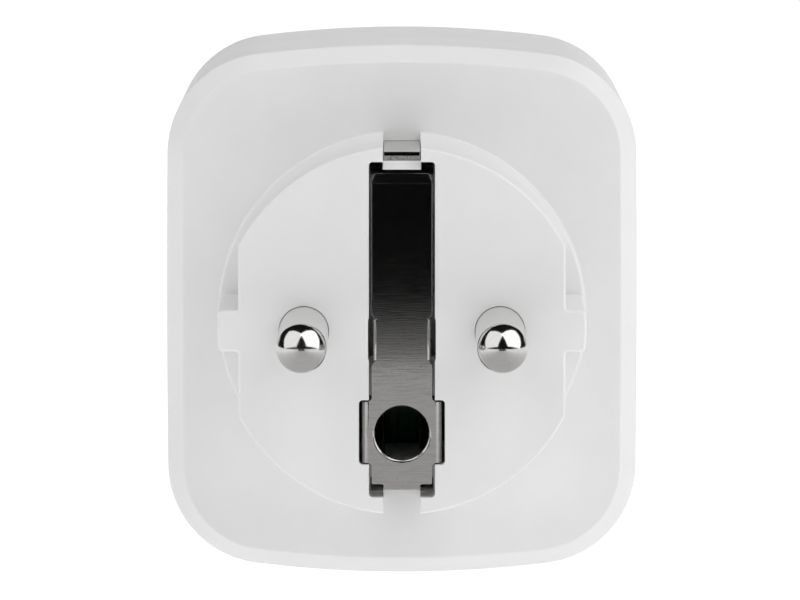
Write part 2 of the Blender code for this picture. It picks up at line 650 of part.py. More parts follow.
def supply_parts():
    """The parts that feed the electronics, and the chips that measure."""
    can("bulk_capacitor_1", 3.15, 34.6, 17.3, -4.4, SLEEVE)
    can("bulk_capacitor_2", 3.15, 34.6, 17.3, -11.4, SLEEVE)
    can("choke", 3.8, 30.1, -16.8, -8.8, BLACK)
    box("film_capacitor", (-20.0, PARTS_START, -1.0), (-14.3, 33.4, 12.0), FILM_YELLOW, bevel=0.3)
    disc = rod("varistor", 4.4, -1.7, 1.7, 0, 0, DISC_BLUE, sides=24)
    disc.location = metres((12.6, 28.2, 10.0))
    disc.rotation_euler = (0, math.pi / 2, 0)
    resistor = rod("fuse_resistor", 1.7, -4.5, 4.5, 0, 0, RESISTOR_GREEN, sides=16)
    resistor.location = metres((18.0, 25.4, 7.6))
    resistor.rotation_euler = (0, 0, 0)
    box("bridge_rectifier", (7.6, PARTS_START, -13.9), (12.4, 25.4, -9.9), BLACK, bevel=0.2)
    box("supply_chip", (6.6, PARTS_START, -8.6), (11.4, 24.7, -4.8), BLACK, bevel=0.15)
    box("metering_chip", (-5.0, PARTS_START, -9.4), (0.0, 24.7, -5.6), BLACK, bevel=0.15)


rear_housing()
front_housing()
plug_pins()
pin_links()
earth_bar()
upper_side_contact()
socket_earth_clips()
earth_rivets()
socket_contacts()
shutter()
shutter_carrier()
shutter_spring()
power_button()
light_ring()
tact_switch()
main_board()
board_screws()
relay()
radio_module()
shunt()
supply_parts()
bpy.context.view_layer.update()
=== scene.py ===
"""The plug-in power meter's looks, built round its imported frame.

Sizes are in millimetres, and MM turns them into Blender's metres. X runs across the two pins, Y from the
plug (-Y) to the socket (+Y), and Z is up. The origin is the middle of the flat end of the plug.
"""

import math

import bmesh
import bpy
from mathutils import Euler, Matrix, Vector


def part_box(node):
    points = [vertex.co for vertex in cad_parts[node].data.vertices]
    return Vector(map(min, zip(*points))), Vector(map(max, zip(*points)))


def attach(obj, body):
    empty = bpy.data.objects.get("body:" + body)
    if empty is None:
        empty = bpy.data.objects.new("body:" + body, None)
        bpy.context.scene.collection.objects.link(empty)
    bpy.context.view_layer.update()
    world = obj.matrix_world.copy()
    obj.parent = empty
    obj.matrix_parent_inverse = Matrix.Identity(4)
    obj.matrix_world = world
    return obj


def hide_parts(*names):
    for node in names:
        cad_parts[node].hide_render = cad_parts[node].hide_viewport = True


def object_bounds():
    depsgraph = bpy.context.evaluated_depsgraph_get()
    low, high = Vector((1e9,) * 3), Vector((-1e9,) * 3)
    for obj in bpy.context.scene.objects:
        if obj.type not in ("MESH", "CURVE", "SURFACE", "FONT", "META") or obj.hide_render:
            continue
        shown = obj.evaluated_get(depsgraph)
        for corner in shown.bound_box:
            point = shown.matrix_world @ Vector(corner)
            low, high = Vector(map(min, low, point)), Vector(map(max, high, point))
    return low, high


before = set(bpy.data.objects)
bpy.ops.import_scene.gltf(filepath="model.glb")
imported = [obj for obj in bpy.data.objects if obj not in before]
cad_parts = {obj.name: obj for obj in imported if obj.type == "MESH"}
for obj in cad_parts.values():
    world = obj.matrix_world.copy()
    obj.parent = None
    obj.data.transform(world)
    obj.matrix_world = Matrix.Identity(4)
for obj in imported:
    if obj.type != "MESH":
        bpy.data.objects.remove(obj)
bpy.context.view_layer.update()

# ---------------------------------------------------------------- rear housing
# The deep white shell that carries the plug. It is ABS, injection moulded in one with the round base that
# enters the wall socket. The mould is spark eroded, so every face has a very fine grain, and the edges are
# slightly round. The slots and pockets for the metal parts are open towards the wall.
MM = 0.001
MERGE = 0.0000003
WALL = 2.0
SIDE_BOW, TOP_BOW, CORNER = 1500.0, 118.0, 10.0
CASE_BACK = 17.0
CASE_FLOOR = CASE_BACK + WALL
SEAM_ROUND = 0.12
PLUG_RADIUS, PLUG_DRAFT = 17.9, 0.2
FLAT_X = 15.85
KEY_HALF = 2.0
FLANGE_START = 15.5
SLOT_HALF, SLOT_LOW, SLOT_HIGH, SLOT_DEPTH = 3.2, -16.2, 16.4, 4.5
NOTCH_HALF = 1.84
PASSAGE_HALF = 1.8
PIN_X = 9.5
PIN_RADIUS = 2.4

rear_low, rear_high = (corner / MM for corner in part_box("rear_housing"))
HALF_WIDTH = rear_high.x
HALF_HEIGHT = (rear_high.z - rear_low.z) / 2
RISE = (rear_high.z + rear_low.z) / 2
REAR_END = rear_high.y


def case_outline(inset=0.0):
    """The case's outline in X and Z: four bowed sides, and four round corners that run into them."""
    side_middle = Vector((HALF_WIDTH - SIDE_BOW, 0))
    top_middle = Vector((0, HALF_HEIGHT - TOP_BOW))
    side_reach, top_reach = SIDE_BOW - CORNER, TOP_BOW - CORNER
    between = top_middle - side_middle
    along = (side_reach**2 - top_reach**2 + between.length_squared) / (2 * between.length)
    off = math.sqrt(side_reach**2 - along**2)
    across = Vector((between.y, -between.x)).normalized()
    foot = side_middle + between.normalized() * along
    corner = max(foot + across * off, foot - across * off, key=sum)
    side_end = math.atan2(*(corner - side_middle).yx)
    top_start = math.atan2(*(corner - top_middle).yx)
    quarter = []
    for middle, radius, start, end, steps in (
        (side_middle, SIDE_BOW, 0.0, side_end, 8),
        (corner, CORNER, side_end, top_start, 24),
        (top_middle, TOP_BOW, top_start, math.pi / 2, 16),
    ):
        for i in range(steps):
            angle = start + (end - start) * i / steps
            quarter.append(middle + Vector((math.cos(angle), math.sin(angle))) * (radius - inset))
    quarter.append(Vector((0, HALF_HEIGHT - inset)))
    upper = quarter + [Vector((-p.x, p.y)) for p in reversed(quarter[:-1])]
    lower = [-p for p in upper[1:-1]]
    return [p + Vector((0, RISE)) for p in upper + lower]


def circle(radius, x=0.0, z=0.0, sides=64):
    """Points round a circle in X and Z."""
    turns = [math.tau * i / sides for i in range(sides)]
    return [Vector((x + radius * math.cos(a), z + radius * math.sin(a))) for a in turns]


def rounded(corners, closed=True, steps=5):
    """A line through (a, b, radius) corners, with every corner that has a radius turned into an arc."""
    line = []
    for i, (a, b, radius) in enumerate(corners):
        here = Vector((a, b))
        at_end = not closed and i in (0, len(corners) - 1)
        if radius == 0 or at_end:
            line.append(here)
            continue
        back = (Vector(corners[i - 1][:2]) - here).normalized()
        on = (Vector(corners[(i + 1) % len(corners)][:2]) - here).normalized()
        half = back.angle(on) / 2
        centre = here + (back + on).normalized() * radius / math.sin(half)
        first = here + back * radius / math.tan(half) - centre
        last = here + on * radius / math.tan(half) - centre
        sweep = math.atan2(first.x * last.y - first.y * last.x, first.dot(last))
        start = math.atan2(first.y, first.x)
        for k in range(steps + 1):
            angle = start + sweep * k / steps
            line.append(centre + Vector((math.cos(angle), math.sin(angle))) * radius)
    return line


def rectangle(half_width, low, high, radius, steps=5):
    """A rectangle in X and Z with round corners, on the middle plane."""
    sides = ((half_width, low), (half_width, high), (-half_width, high), (-half_width, low))
    return rounded([(x, z, radius) for x, z in sides], steps=steps)


def grown(outline, by):
    """An anticlockwise outline moved outwards by a distance, or inwards if it is negative."""
    moved = []
    for before, here, after in zip(outline[-1:] + outline[:-1], outline, outline[1:] + outline[:1]):
        arrive, leave = (here - before).normalized(), (after - here).normalized()
        first, last = Vector((arrive.y, -arrive.x)), Vector((leave.y, -leave.x))
        moved.append(here + (first + last) / (1 + first.dot(last)) * by)
    return moved


def edge_round(radius, steps=4):
    """(depth, inset) pairs down a quarter round, from the face to the side."""
    turns = [math.pi / 2 * i / steps for i in range(steps + 1)]
    return [(radius - radius * math.cos(a), radius - radius * math.sin(a)) for a in turns]


def put(name, work):
    """Links a finished bmesh as an object, with its normals outwards."""
    bmesh.ops.recalc_face_normals(work, faces=work.faces)
    mesh = bpy.data.meshes.new(name)
    work.to_mesh(mesh)
    work.free()
    obj = bpy.data.objects.new(name, mesh)
    bpy.context.scene.collection.objects.link(obj)
    return obj


def loft(name, rings):
    """A closed skin through rings along Y, each given as (y, outline), with as many points in each."""
    work = bmesh.new()
    rows = [[work.verts.new((p.x * MM, y * MM, p.y * MM)) for p in outline] for y, outline in rings]
    count = len(rows[0])
    for row, following in zip(rows, rows[1:]):
        for i in range(count):
            j = (i + 1) % count
            work.faces.new((row[i], row[j], following[j], following[i]))
    work.faces.new(rows[0])
    work.faces.new(rows[-1])
    return put(name, work)


def prism(name, outline, levels):
    """A skin through one outline, grown by an amount at each level: (y, growth)."""
    return loft(name, [(y, grown(outline, by)) for y, by in levels])


def block(name, low, high):
    """A plain block between two corners, as a tool for cutting."""
    (left, back, bottom), (right, front, top) = low, high
    outline = [Vector(p) for p in ((right, bottom), (right, top), (left, top), (left, bottom))]
    return loft(name, [(back, outline), (front, outline)])


def turned(name, profile, x=0.0, z=0.0, sides=64, closed=False):
    """A turned piece along Y through (radius, y) points. A closed profile makes a ring."""
    work = bmesh.new()
    rows = []
    for radius, y in profile:
        around = circle(radius, x, z, sides) if radius else [Vector((x, z))] * sides
        if radius:
            rows.append([work.verts.new((p.x * MM, y * MM, p.y * MM)) for p in around])
        else:
            rows.append([work.verts.new((x * MM, y * MM, z * MM))] * sides)
    pairs = list(zip(rows, rows[1:]))
    if closed:
        pairs.append((rows[-1], rows[0]))
    for row, following in pairs:
        for i in range(sides):
            j = (i + 1) % sides
            corners = list(dict.fromkeys((row[i], row[j], following[j], following[i])))
            if len(corners) > 2:
                work.faces.new(corners)
    if not closed:
        for row, (radius, _) in ((rows[0], profile[0]), (rows[-1], profile[-1])):
            if radius:
                work.faces.new(row)
    return put(name, work)


def opening(name, outline, depth, rim=0.12, face=0.0, inward=1):
    """A tool for an opening with a softly rounded rim, sunk from a face along Y."""
    levels = [(face - inward, rim)] + [(face + inward * d, i) for d, i in edge_round(rim, 3)]
    return prism(name, outline, levels + [(face + inward * depth, 0.0)])


def apply_steps(obj):
    """Turns the object's modifiers into plain mesh."""
    evaluated = obj.evaluated_get(bpy.context.evaluated_depsgraph_get())
    mesh = bpy.data.meshes.new_from_object(evaluated)
    obj.modifiers.clear()
    obj.data = mesh
    return obj


def combine(target, tools, operation):
    """Joins or cuts for good. The tools are used up."""
    for tool in tools:
        step = target.modifiers.new(tool.name, "BOOLEAN")
        step.operation = operation
        step.solver = "EXACT"
        step.object = tool
    apply_steps(target)
    for tool in tools:
        bpy.data.objects.remove(tool)
    work = bmesh.new()
    work.from_mesh(target.data)
    bmesh.ops.remove_doubles(work, verts=work.verts, dist=MERGE)
    bmesh.ops.dissolve_degenerate(work, edges=work.edges, dist=MERGE)
    work.to_mesh(target.data)
    work.free()
    return target


def carve(target, *tools):
    return combine(target, tools, "DIFFERENCE")


def join(target, *tools):
    return combine(target, tools, "UNION")


def dress(obj, material, body, slot, *replaced):
    """Gives a finished piece its shading, material and body, and hides the CAD parts that it stands for.
    The slot argument is not used.
    """
    obj.data.materials.clear()
    obj.data.materials.append(material)
    obj.data.shade_smooth()
    obj.data.set_sharp_from_angle(angle=math.radians(35))
    weigh = obj.modifiers.new("even_shading", "WEIGHTED_NORMAL")
    weigh.keep_sharp = True
    apply_steps(obj)
    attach(obj, body)
    if replaced:
        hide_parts(*replaced)
    return obj


def add(tree, kind, inputs=None, **settings):
    """A node in a tree. Its inputs are given as values, or as the sockets that feed them."""
    made = tree.nodes.new(kind)
    for name, value in settings.items():
        setattr(made, name, value)
    for name, value in (inputs or {}).items():
        if isinstance(value, bpy.types.NodeSocket):
            tree.links.new(value, made.inputs[name])
        else:
            made.inputs[name].default_value = value
    return made


def new_group(name, inputs, outputs):
    """An empty shader node group with named sockets. Returns it with its input and output nodes."""
    group = bpy.data.node_groups.new(name, "ShaderNodeTree")
    for label, kind, value in inputs:
        socket = group.interface.new_socket(label, in_out="INPUT", socket_type=kind)
        socket.default_value = value
    for label, kind in outputs:
        group.interface.new_socket(label, in_out="OUTPUT", socket_type=kind)
    return group, group.nodes.new("NodeGroupInput"), group.nodes.new("NodeGroupOutput")


FLOAT, COLOUR, VECTOR = "NodeSocketFloat", "NodeSocketColor", "NodeSocketVector"
SURFACE_OUTPUTS = (("Colour", COLOUR), ("Roughness", FLOAT), ("Normal", VECTOR))


def noise(tree, place, scale, detail, **inputs):
    """A noise texture's value."""
    values = {"Vector": place, "Scale": scale, "Detail": detail, **inputs}
    return add(tree, "ShaderNodeTexNoise", values).outputs["Fac"]


def ranged(tree, value, low=0.0, high=1.0, to_low=0.0, to_high=1.0, **settings):
    """A value moved from one range to another, and held inside it."""
    limits = {"Value": value, "From Min": low, "From Max": high, "To Min": to_low, "To Max": to_high}
    return add(tree, "ShaderNodeMapRange", limits, **settings).outputs["Result"]


def blended(tree, factor, first, second):
    """A colour between two colours."""
    ends = {"Factor": factor, 6: first, 7: second}
    return add(tree, "ShaderNodeMix", ends, data_type="RGBA").outputs[2]


def give_surface(tree, result, colour, roughness, height, depth):
    """Sends a surface's colour, roughness and relief to the group's output."""
    relief = add(tree, "ShaderNodeBump", {"Height": height, "Distance": depth})
    tree.links.new(colour, result.inputs["Colour"])
    tree.links.new(roughness, result.inputs["Roughness"])
    tree.links.new(relief.outputs["Normal"], result.inputs["Normal"])

# Moulded plastic: a fine eroded grain that catches the light, over a faint cloudiness in the colour.
moulded, given, result = new_group(
    "moulded_surface",
    (
        ("Colour", COLOUR, (0.8, 0.8, 0.8, 1)),
        ("Shade", COLOUR, (0.7, 0.7, 0.7, 1)),
        ("Grain per Metre", FLOAT, 9000.0),
        ("Grain Depth", FLOAT, 0.000004),
        ("Smoothest", FLOAT, 0.4),
        ("Roughest", FLOAT, 0.55),
    ),
    SURFACE_OUTPUTS,
)
place = add(moulded, "ShaderNodeTexCoord").outputs["Object"]
grain = noise(moulded, place, given.outputs["Grain per Metre"], 2.0)
cloud = noise(moulded, place, 130.0, 4.0, Roughness=0.6)
cloudy = ranged(moulded, cloud, 0.35, 0.75)
tint = blended(moulded, cloudy, given.outputs["Colour"], given.outputs["Shade"])
polish = ranged(moulded, grain, 0.3, 0.7, given.outputs["Smoothest"], given.outputs["Roughest"])
give_surface(moulded, result, tint, polish, grain, given.outputs["Grain Depth"])


def surfaced(name, group, values, fixed=None):
    """A material whose Principled BSDF takes colour, roughness and normal from a surface group."""
    made = bpy.data.materials.new(name)
    made.use_nodes = True
    tree = made.node_tree
    shader = tree.nodes["Principled BSDF"]
    surface = add(tree, "ShaderNodeGroup", values, node_tree=group)
    tree.links.new(surface.outputs["Colour"], shader.inputs["Base Color"])
    tree.links.new(surface.outputs["Roughness"], shader.inputs["Roughness"])
    tree.links.new(surface.outputs["Normal"], shader.inputs["Normal"])
    for socket, value in (fixed or {}).items():
        shader.inputs[socket].default_value = value
    return made


WHITE_ABS = surfaced(
    "white_moulding", moulded, {"Colour": (0.82, 0.82, 0.82, 1), "Shade": (0.79, 0.79, 0.79, 1)}
)


def plug_outline(radius):
    """The plug's outline: round, with a flat at each side, and a guide key left standing on each flat."""
    meet = math.sqrt(radius**2 - FLAT_X**2)
    key_x = math.sqrt(radius**2 - KEY_HALF**2)
    edge = math.atan2(meet, FLAT_X)
    side = [
        (FLAT_X, -meet, 0.4), (FLAT_X, -KEY_HALF, 0.3), (key_x, -KEY_HALF, 0.4), (radius, 0, 0),
        (key_x, KEY_HALF, 0.4), (FLAT_X, KEY_HALF, 0.3), (FLAT_X, meet, 0.4),
    ]  # fmt: skip
    arc_steps = 60
    turns = [edge + (math.pi - 2 * edge) * i / arc_steps for i in range(1, arc_steps)]
    arc = [(radius * math.cos(a), radius * math.sin(a), 0) for a in turns]
    half = side + arc
    return rounded(half + [(-x, -z, radius) for x, z, radius in half])


body_levels = [(17.0, 1.75), (17.03, 1.62), (17.1, 1.52), (18.7, 0.07), (18.85, 0.015), (19.0, 0.0)]
body_levels += [(REAR_END - d, i) for d, i in reversed(edge_round(SEAM_ROUND))]
case_body = loft("rear_shell", [(y, case_outline(inset)) for y, inset in body_levels])

face_round = edge_round(0.3, 5)
plug_levels = [(d, PLUG_DRAFT * d / CASE_BACK - inset) for d, inset in face_round]
plug_levels.append((FLANGE_START + 0.1, PLUG_DRAFT * FLANGE_START / CASE_BACK))
plug = prism("plug_base", plug_outline(PLUG_RADIUS), plug_levels)
flange_radius = PLUG_RADIUS + PLUG_DRAFT
flange = turned(
    "plug_flange",
    [
        (0, 15.5), (flange_radius - 0.15, 15.5), (flange_radius - 0.06, 15.54), (flange_radius, 15.65),
        (flange_radius, 16.7), (flange_radius + 0.05, 16.88), (flange_radius + 0.15, 16.97),
        (flange_radius + 0.35, 17.02), (flange_radius + 0.35, 17.5), (0, 17.5),
    ],
    sides=160,
)  # fmt: skip
join(plug, flange)
carve(
    plug,
    opening("bar_slot", rectangle(SLOT_HALF, SLOT_LOW, SLOT_HIGH, 0.35), SLOT_DEPTH),
    opening("ear_slot", rectangle(SLOT_HALF + 0.08, -2.9, 1.25, 0.2), 7.0),
    opening("upper_notch", rectangle(NOTCH_HALF, 16.1, 19.4, 0.2), CASE_BACK + 0.3),
    opening("lower_notch", rectangle(NOTCH_HALF - 0.04, -19.4, -14.9, 0.2), CASE_BACK + 0.3),
)
join(case_body, plug)
pocket_half = SLOT_HALF - 0.05
pocket_levels = [(1, 0), (12, -0.15)]
carve(
    case_body,
    loft("case_hollow", [(y, case_outline(WALL)) for y in (CASE_FLOOR, REAR_END + 1)]),
    opening("earth_pocket", rectangle(4.165, -13.0, -6.73, 0.35), CASE_FLOOR + 1),
    prism("upper_end_pocket", rectangle(pocket_half, 14.8, SLOT_HIGH - 0.05, 0.3), pocket_levels),
    prism("lower_end_pocket", rectangle(pocket_half, SLOT_LOW + 0.05, -14.6, 0.3), pocket_levels),
    block("upper_passage", (-PASSAGE_HALF, 16, 16.4), (PASSAGE_HALF, 20, 17.32)),
    block("lower_passage", (-PASSAGE_HALF, 16, -17.2), (PASSAGE_HALF, 20, -16.0)),
)
tongue_half = NOTCH_HALF + 0.02
tongue_full = rectangle(tongue_half, 15.62, 16.45, 0.03)
tongue_tip = rectangle(tongue_half, 15.62, 15.7, 0.03)
join(case_body, loft("tongue", [(0.87, tongue_tip), (1.62, tongue_full), (13.0, tongue_full)]))
for side in (-1, 1):
    bore = [(0, -1), (PIN_RADIUS + 0.09, -1)]
    bore += [(PIN_RADIUS + 0.02 + i, d) for d, i in edge_round(0.07, 3)]
    bore += [(PIN_RADIUS + 0.02, 9.2), (3.6, 9.2), (3.6, CASE_FLOOR + 1), (0, CASE_FLOOR + 1)]
    carve(case_body, turned(f"pin_bore_{side}", bore, side * PIN_X))
dress(case_body, WHITE_ABS, "meter", "white_plastic", "rear_housing")

# ---------------------------------------------------------------- plug pins
# Two solid brass pins, turned on a lathe and nickel plated, pressed into the base. Each ends in a half
# round nose. Turning leaves hair-fine rings under the plate.
pin_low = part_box("live_pin")[0] / MM

# Worked metal: fine lines along the way it was rolled, drawn or turned, with small dull spots on them.
worked, given, result = new_group(
    "worked_metal",
    (
        ("Colour", COLOUR, (0.78, 0.77, 0.75, 1)),
        ("Dull Colour", COLOUR, (0.5, 0.49, 0.47, 1)),
        ("Lines per Metre", VECTOR, (50.0, 5000.0, 50.0)),
        ("Line Depth", FLOAT, 0.0000005),
        ("Spots", FLOAT, 0.3),
        ("Smoothest", FLOAT, 0.12),
        ("Roughest", FLOAT, 0.2),
    ),
    SURFACE_OUTPUTS,
)
place = add(worked, "ShaderNodeTexCoord").outputs["Object"]
stretched = add(
    worked, "ShaderNodeVectorMath", {0: place, 1: given.outputs["Lines per Metre"]}, operation="MULTIPLY"
)
lines = noise(worked, stretched.outputs["Vector"], 1.0, 3.0)
speckle = noise(worked, place, 3600.0, 2.0)
spots = ranged(worked, speckle, 0.6, 0.72, 0.0, given.outputs["Spots"])
streaks = ranged(worked, lines, 0.45, 0.8, 0.0, given.outputs["Spots"])
dull = add(worked, "ShaderNodeMath", {0: spots, 1: streaks}, operation="MAXIMUM").outputs["Value"]
tint = blended(worked, dull, given.outputs["Colour"], given.outputs["Dull Colour"])
polish = ranged(worked, lines, 0.3, 0.7, given.outputs["Smoothest"], given.outputs["Roughest"])
give_surface(worked, result, tint, polish, lines, given.outputs["Line Depth"])

PIN_NICKEL = surfaced(
    "turned_nickel",
    worked,
    {
        "Colour": (0.66, 0.65, 0.64, 1),
        "Dull Colour": (0.5, 0.49, 0.48, 1),
        "Lines per Metre": (60.0, 6000.0, 60.0),
        "Spots": 0.25,
        "Smoothest": 0.09,
        "Roughest": 0.16,
    },
    {"Metallic": 1.0},
)

nose_steps = 20
nose = [
    (PIN_RADIUS * math.sin(a), pin_low.y + PIN_RADIUS - PIN_RADIUS * math.cos(a))
    for a in (math.pi / 2 * i / nose_steps for i in range(nose_steps + 1))
]
nose[0] = (0, pin_low.y)
shank = [
    (PIN_RADIUS, 9.2), (PIN_RADIUS + 0.05, 9.3), (3.1, 9.3), (3.2, 9.4), (3.2, 10.3), (3.1, 10.4),
    (1.5, 10.4), (1.5, 14.0), (1.3, 14.2), (0, 14.2),
]  # fmt: skip
for name, side in (("live", 1), ("neutral", -1)):
    pin = turned(f"{name}_plug_pin", nose + shank, side * PIN_X, sides=96)
    dress(pin, PIN_NICKEL, "meter", "nickel_plate", f"{name}_pin")

# ---------------------------------------------------------------- earth bar
# One stamping of nickel-plated bronze strip, 0.6 mm thick, that closes the plug's end. Its two ears are
# folded into the slot to hold it. Two leaves folded behind the hole grip the earth pin of a French
# socket, and the narrow neck turns along the plug's side as the lower earth contact.
BAR_HALF = 2.925
BAR_THICKNESS = 0.6
BAR_FACE = 0.3
BAR_TOP = 15.3
EAR_X, EAR_FOLD = 2.43, 0.35
LEAF_X, LEAF_FOLD = 3.2, 0.7
EAR_THINNING = 0.55
EARTH_HOLE_RADIUS, EARTH_HOLE_Z = 2.6, -9.95


def mirrored(half):
    """A closed outline from its right half, listed upwards."""
    return half + [(-x, z, radius) for x, z, radius in reversed(half)]


def along(route, distance, depth):
    """The point at a distance along a route, and a depth to its left."""
    left_over = distance
    for start, end in zip(route, route[1:]):
        step = end - start
        if left_over <= step.length or end is route[-1]:
            break
        left_over -= step.length
    ahead = step.normalized()
    here = start + ahead * left_over
    return here + Vector((-ahead.y, ahead.x)) * depth


def stations(route, start=0.0):
    """The distances along a route where it turns."""
    at, found = start, []
    for first, last in zip(route, route[1:]):
        found.append(at)
        at += (last - first).length
    return found[1:]


def bend(obj, cuts, rule):
    """Cuts a flat blank across where it bends, then moves each point where the rule says.

    cuts are (axis, place) pairs. The rule takes a point's x, y and z and returns them bent.
    """
    work = bmesh.new()
    work.from_mesh(obj.data)
    bmesh.ops.triangulate(work, faces=work.faces, ngon_method="EAR_CLIP")
    for axis, at in cuts:
        normal, origin = Vector((0, 0, 0)), Vector((0, 0, 0))
        normal[axis] = 1.0
        origin[axis] = at * MM
        everything = work.verts[:] + work.edges[:] + work.faces[:]
        bmesh.ops.bisect_plane(work, geom=everything, dist=1e-8, plane_co=origin, plane_no=normal)
    bmesh.ops.triangulate(work, faces=work.faces)
    for vert in work.verts:
        vert.co = Vector(rule(*(vert.co / MM))) * MM
    bmesh.ops.dissolve_limit(work, angle_limit=math.radians(1), verts=work.verts, edges=work.edges)
    bmesh.ops.recalc_face_normals(work, faces=work.faces)
    work.to_mesh(obj.data)
    work.free()
    return obj


def blank(name, outline, thickness=BAR_THICKNESS, rim=0.03):
    """A flat blank in X and Z, whose sheared edges are slightly round. Its outer face is at Y 0."""
    front = [(d, -i) for d, i in edge_round(rim, 3)]
    back = [(thickness - d, growth) for d, growth in reversed(front)]
    return prism(name, outline, front + back)


def fold_route(turn_x, fold, points):
    """The outer face's way across the bar, round a fold, and back into the plug."""
    corners = [(0, BAR_FACE, 0), (turn_x + fold, BAR_FACE, fold), *points]
    return rounded(corners, closed=False, steps=7)


ear_route = fold_route(EAR_X, EAR_FOLD, [(EAR_X + EAR_FOLD, 2.9, 0)])
leaf_way = [(LEAF_X + LEAF_FOLD, 3.4, 2.0), (2.15, 6.6, 2.0), (2.9, 10.0, 0)]
leaf_route = fold_route(LEAF_X, LEAF_FOLD, leaf_way)
bar_route = rounded(
    [
        (0.36, BAR_TOP, 0), (BAR_FACE, 14.3, 1.0), (BAR_FACE, -15.57, 0.75), (2.0, -15.6, 4.0),
        (15.6, -16.9, 4.0), (19.6, -17.5, 4.0), (29.0, -17.5, 0),
    ],
    closed=False,
    steps=8,
)  # fmt: skip
bar_length = sum((b - a).length for a, b in zip(bar_route, bar_route[1:]))
ear_reach = sum((b - a).length for a, b in zip(ear_route, ear_route[1:]))
leaf_reach = sum((b - a).length for a, b in zip(leaf_route, leaf_route[1:]))

half_bar = [
    (1.75, BAR_TOP - bar_length, 0.3), (1.75, -14.95, 0.25), (BAR_HALF, -14.95, 0.15),
    (BAR_HALF, -13.05, 0.3), (LEAF_X + 0.1, -12.87, 0.1), (leaf_reach - 3, -12.87, 1.0),
    (leaf_reach, -12.2, 0.5), (leaf_reach, -7.6, 0.5), (leaf_reach - 3, -6.93, 1.0),
    (LEAF_X + 0.1, -6.93, 0.1), (BAR_HALF, -6.65, 0.3), (BAR_HALF, -3.4, 0.3), (2.65, -2.95, 0.05),
    (EAR_X, -2.93, 0.02), (EAR_X, -2.87, 0.02), (ear_reach, -2.87, 0.3), (ear_reach, 1.1, 0.3),
    (EAR_X, 1.1, 0.02), (EAR_X, 1.16, 0.02), (2.65, 1.18, 0.05), (BAR_HALF, 1.6, 0.3),
    (BAR_HALF, 14.45, 0.3), (2.62, BAR_TOP, 0.25),
]  # fmt: skip
bar = blank("earth_bar_stamping", rounded(mirrored(half_bar)))
hole_round = edge_round(0.32, 6)
hole = [(0, -1), (EARTH_HOLE_RADIUS + 0.32, -1)]
hole += [(EARTH_HOLE_RADIUS + i, d) for d, i in hole_round] + [(EARTH_HOLE_RADIUS, 1), (0, 1)]


def rivet_hole(z):
    """A tool for the rivet's hole in a flat blank."""
    return turned("rivet_hole", [(0, -1), (1.1, -1), (1.1, 1), (0, 1)], 0, z, sides=32)


carve(bar, turned("earth_hole", hole, 0, EARTH_HOLE_Z, sides=96), rivet_hole(BAR_TOP - bar_length + 2.0))


def bar_bend(x, y, z):
    """Folds the ears and the leaves back, and lays the rest along the bar's route."""
    side, across = (-1 if x < 0 else 1), abs(x)
    if across > EAR_X and -2.9 < z < 1.13:
        out, back = along(ear_route, across, y * EAR_THINNING)
        return side * out, back, z
    if across > LEAF_X and z < -5:
        out, back = along(leaf_route, across, y)
        return side * out, back, z
    back, up = along(bar_route, BAR_TOP - z, y)
    drawn_corner = max(0.0, across - 2.92 + (z - 14.4) * 0.25) if z > 14.35 else 0.0
    return x, back + drawn_corner * 0.8, up


cuts = [(2, BAR_TOP - at) for at in stations(bar_route)]
cuts += [(2, 14.35 + 0.1 * i) for i in range(9)]
cuts += [(0, side * (2.65 + 0.05 * i)) for side in (-1, 1) for i in range(5)]
cuts += [(0, side * at) for side in (-1, 1) for at in stations(ear_route) + stations(leaf_route)]
bend(bar, cuts, bar_bend)

BAR_NICKEL = surfaced(
    "rolled_nickel",
    worked,
    {
        "Colour": (0.52, 0.51, 0.5, 1),
        "Dull Colour": (0.36, 0.35, 0.34, 1),
        "Lines per Metre": (500.0, 2500.0, 8000.0),
        "Line Depth": 0.0000006,
        "Spots": 0.55,
        "Smoothest": 0.045,
        "Roughest": 0.08,
    },
    {"Metallic": 1.0},
)
dress(bar, BAR_NICKEL, "meter", "nickel_plate", "earth_bar")

# ---------------------------------------------------------------- upper side contact
# A narrow strip of the same metal that runs along the top of the plug, for the sprung earth of a German
# socket. It ends on the housing's tongue. Shearing leaves that end burnished above and torn below.
UPPER_HALF = 1.78
UPPER_THICKNESS = 0.8
UPPER_FACE = 17.3
UPPER_END = 1.62
NEAR_END = UPPER_END + 0.2
BURNISHED = 0.38
upper_route = rounded(
    [
        (29.0, 17.45, 0),
        (21.6, 17.45, 3.0),
        (19.4, UPPER_FACE, 3.0),
        (UPPER_END, UPPER_FACE, 0),
    ],
    closed=False,
    steps=8,
)
upper_length = sum((b - a).length for a, b in zip(upper_route, upper_route[1:]))
half_strip = [(UPPER_HALF, -upper_length, 0.06), (UPPER_HALF, 0, 0.3)]
contact = blank("upper_contact_strip", rounded(mirrored(half_strip)), UPPER_THICKNESS)
carve(contact, rivet_hole(-2.0))


def bend_strip(obj, route, lift=0.0, side=1):
    """Lays a strip's blank along a route in Y and Z, or along the route's mirror image below the pins."""

    def rule(x, y, z):
        back, up = along(route, -z, y - lift)
        return x, back, side * up

    return bend(obj, [(2, -at) for at in stations(route)], rule)


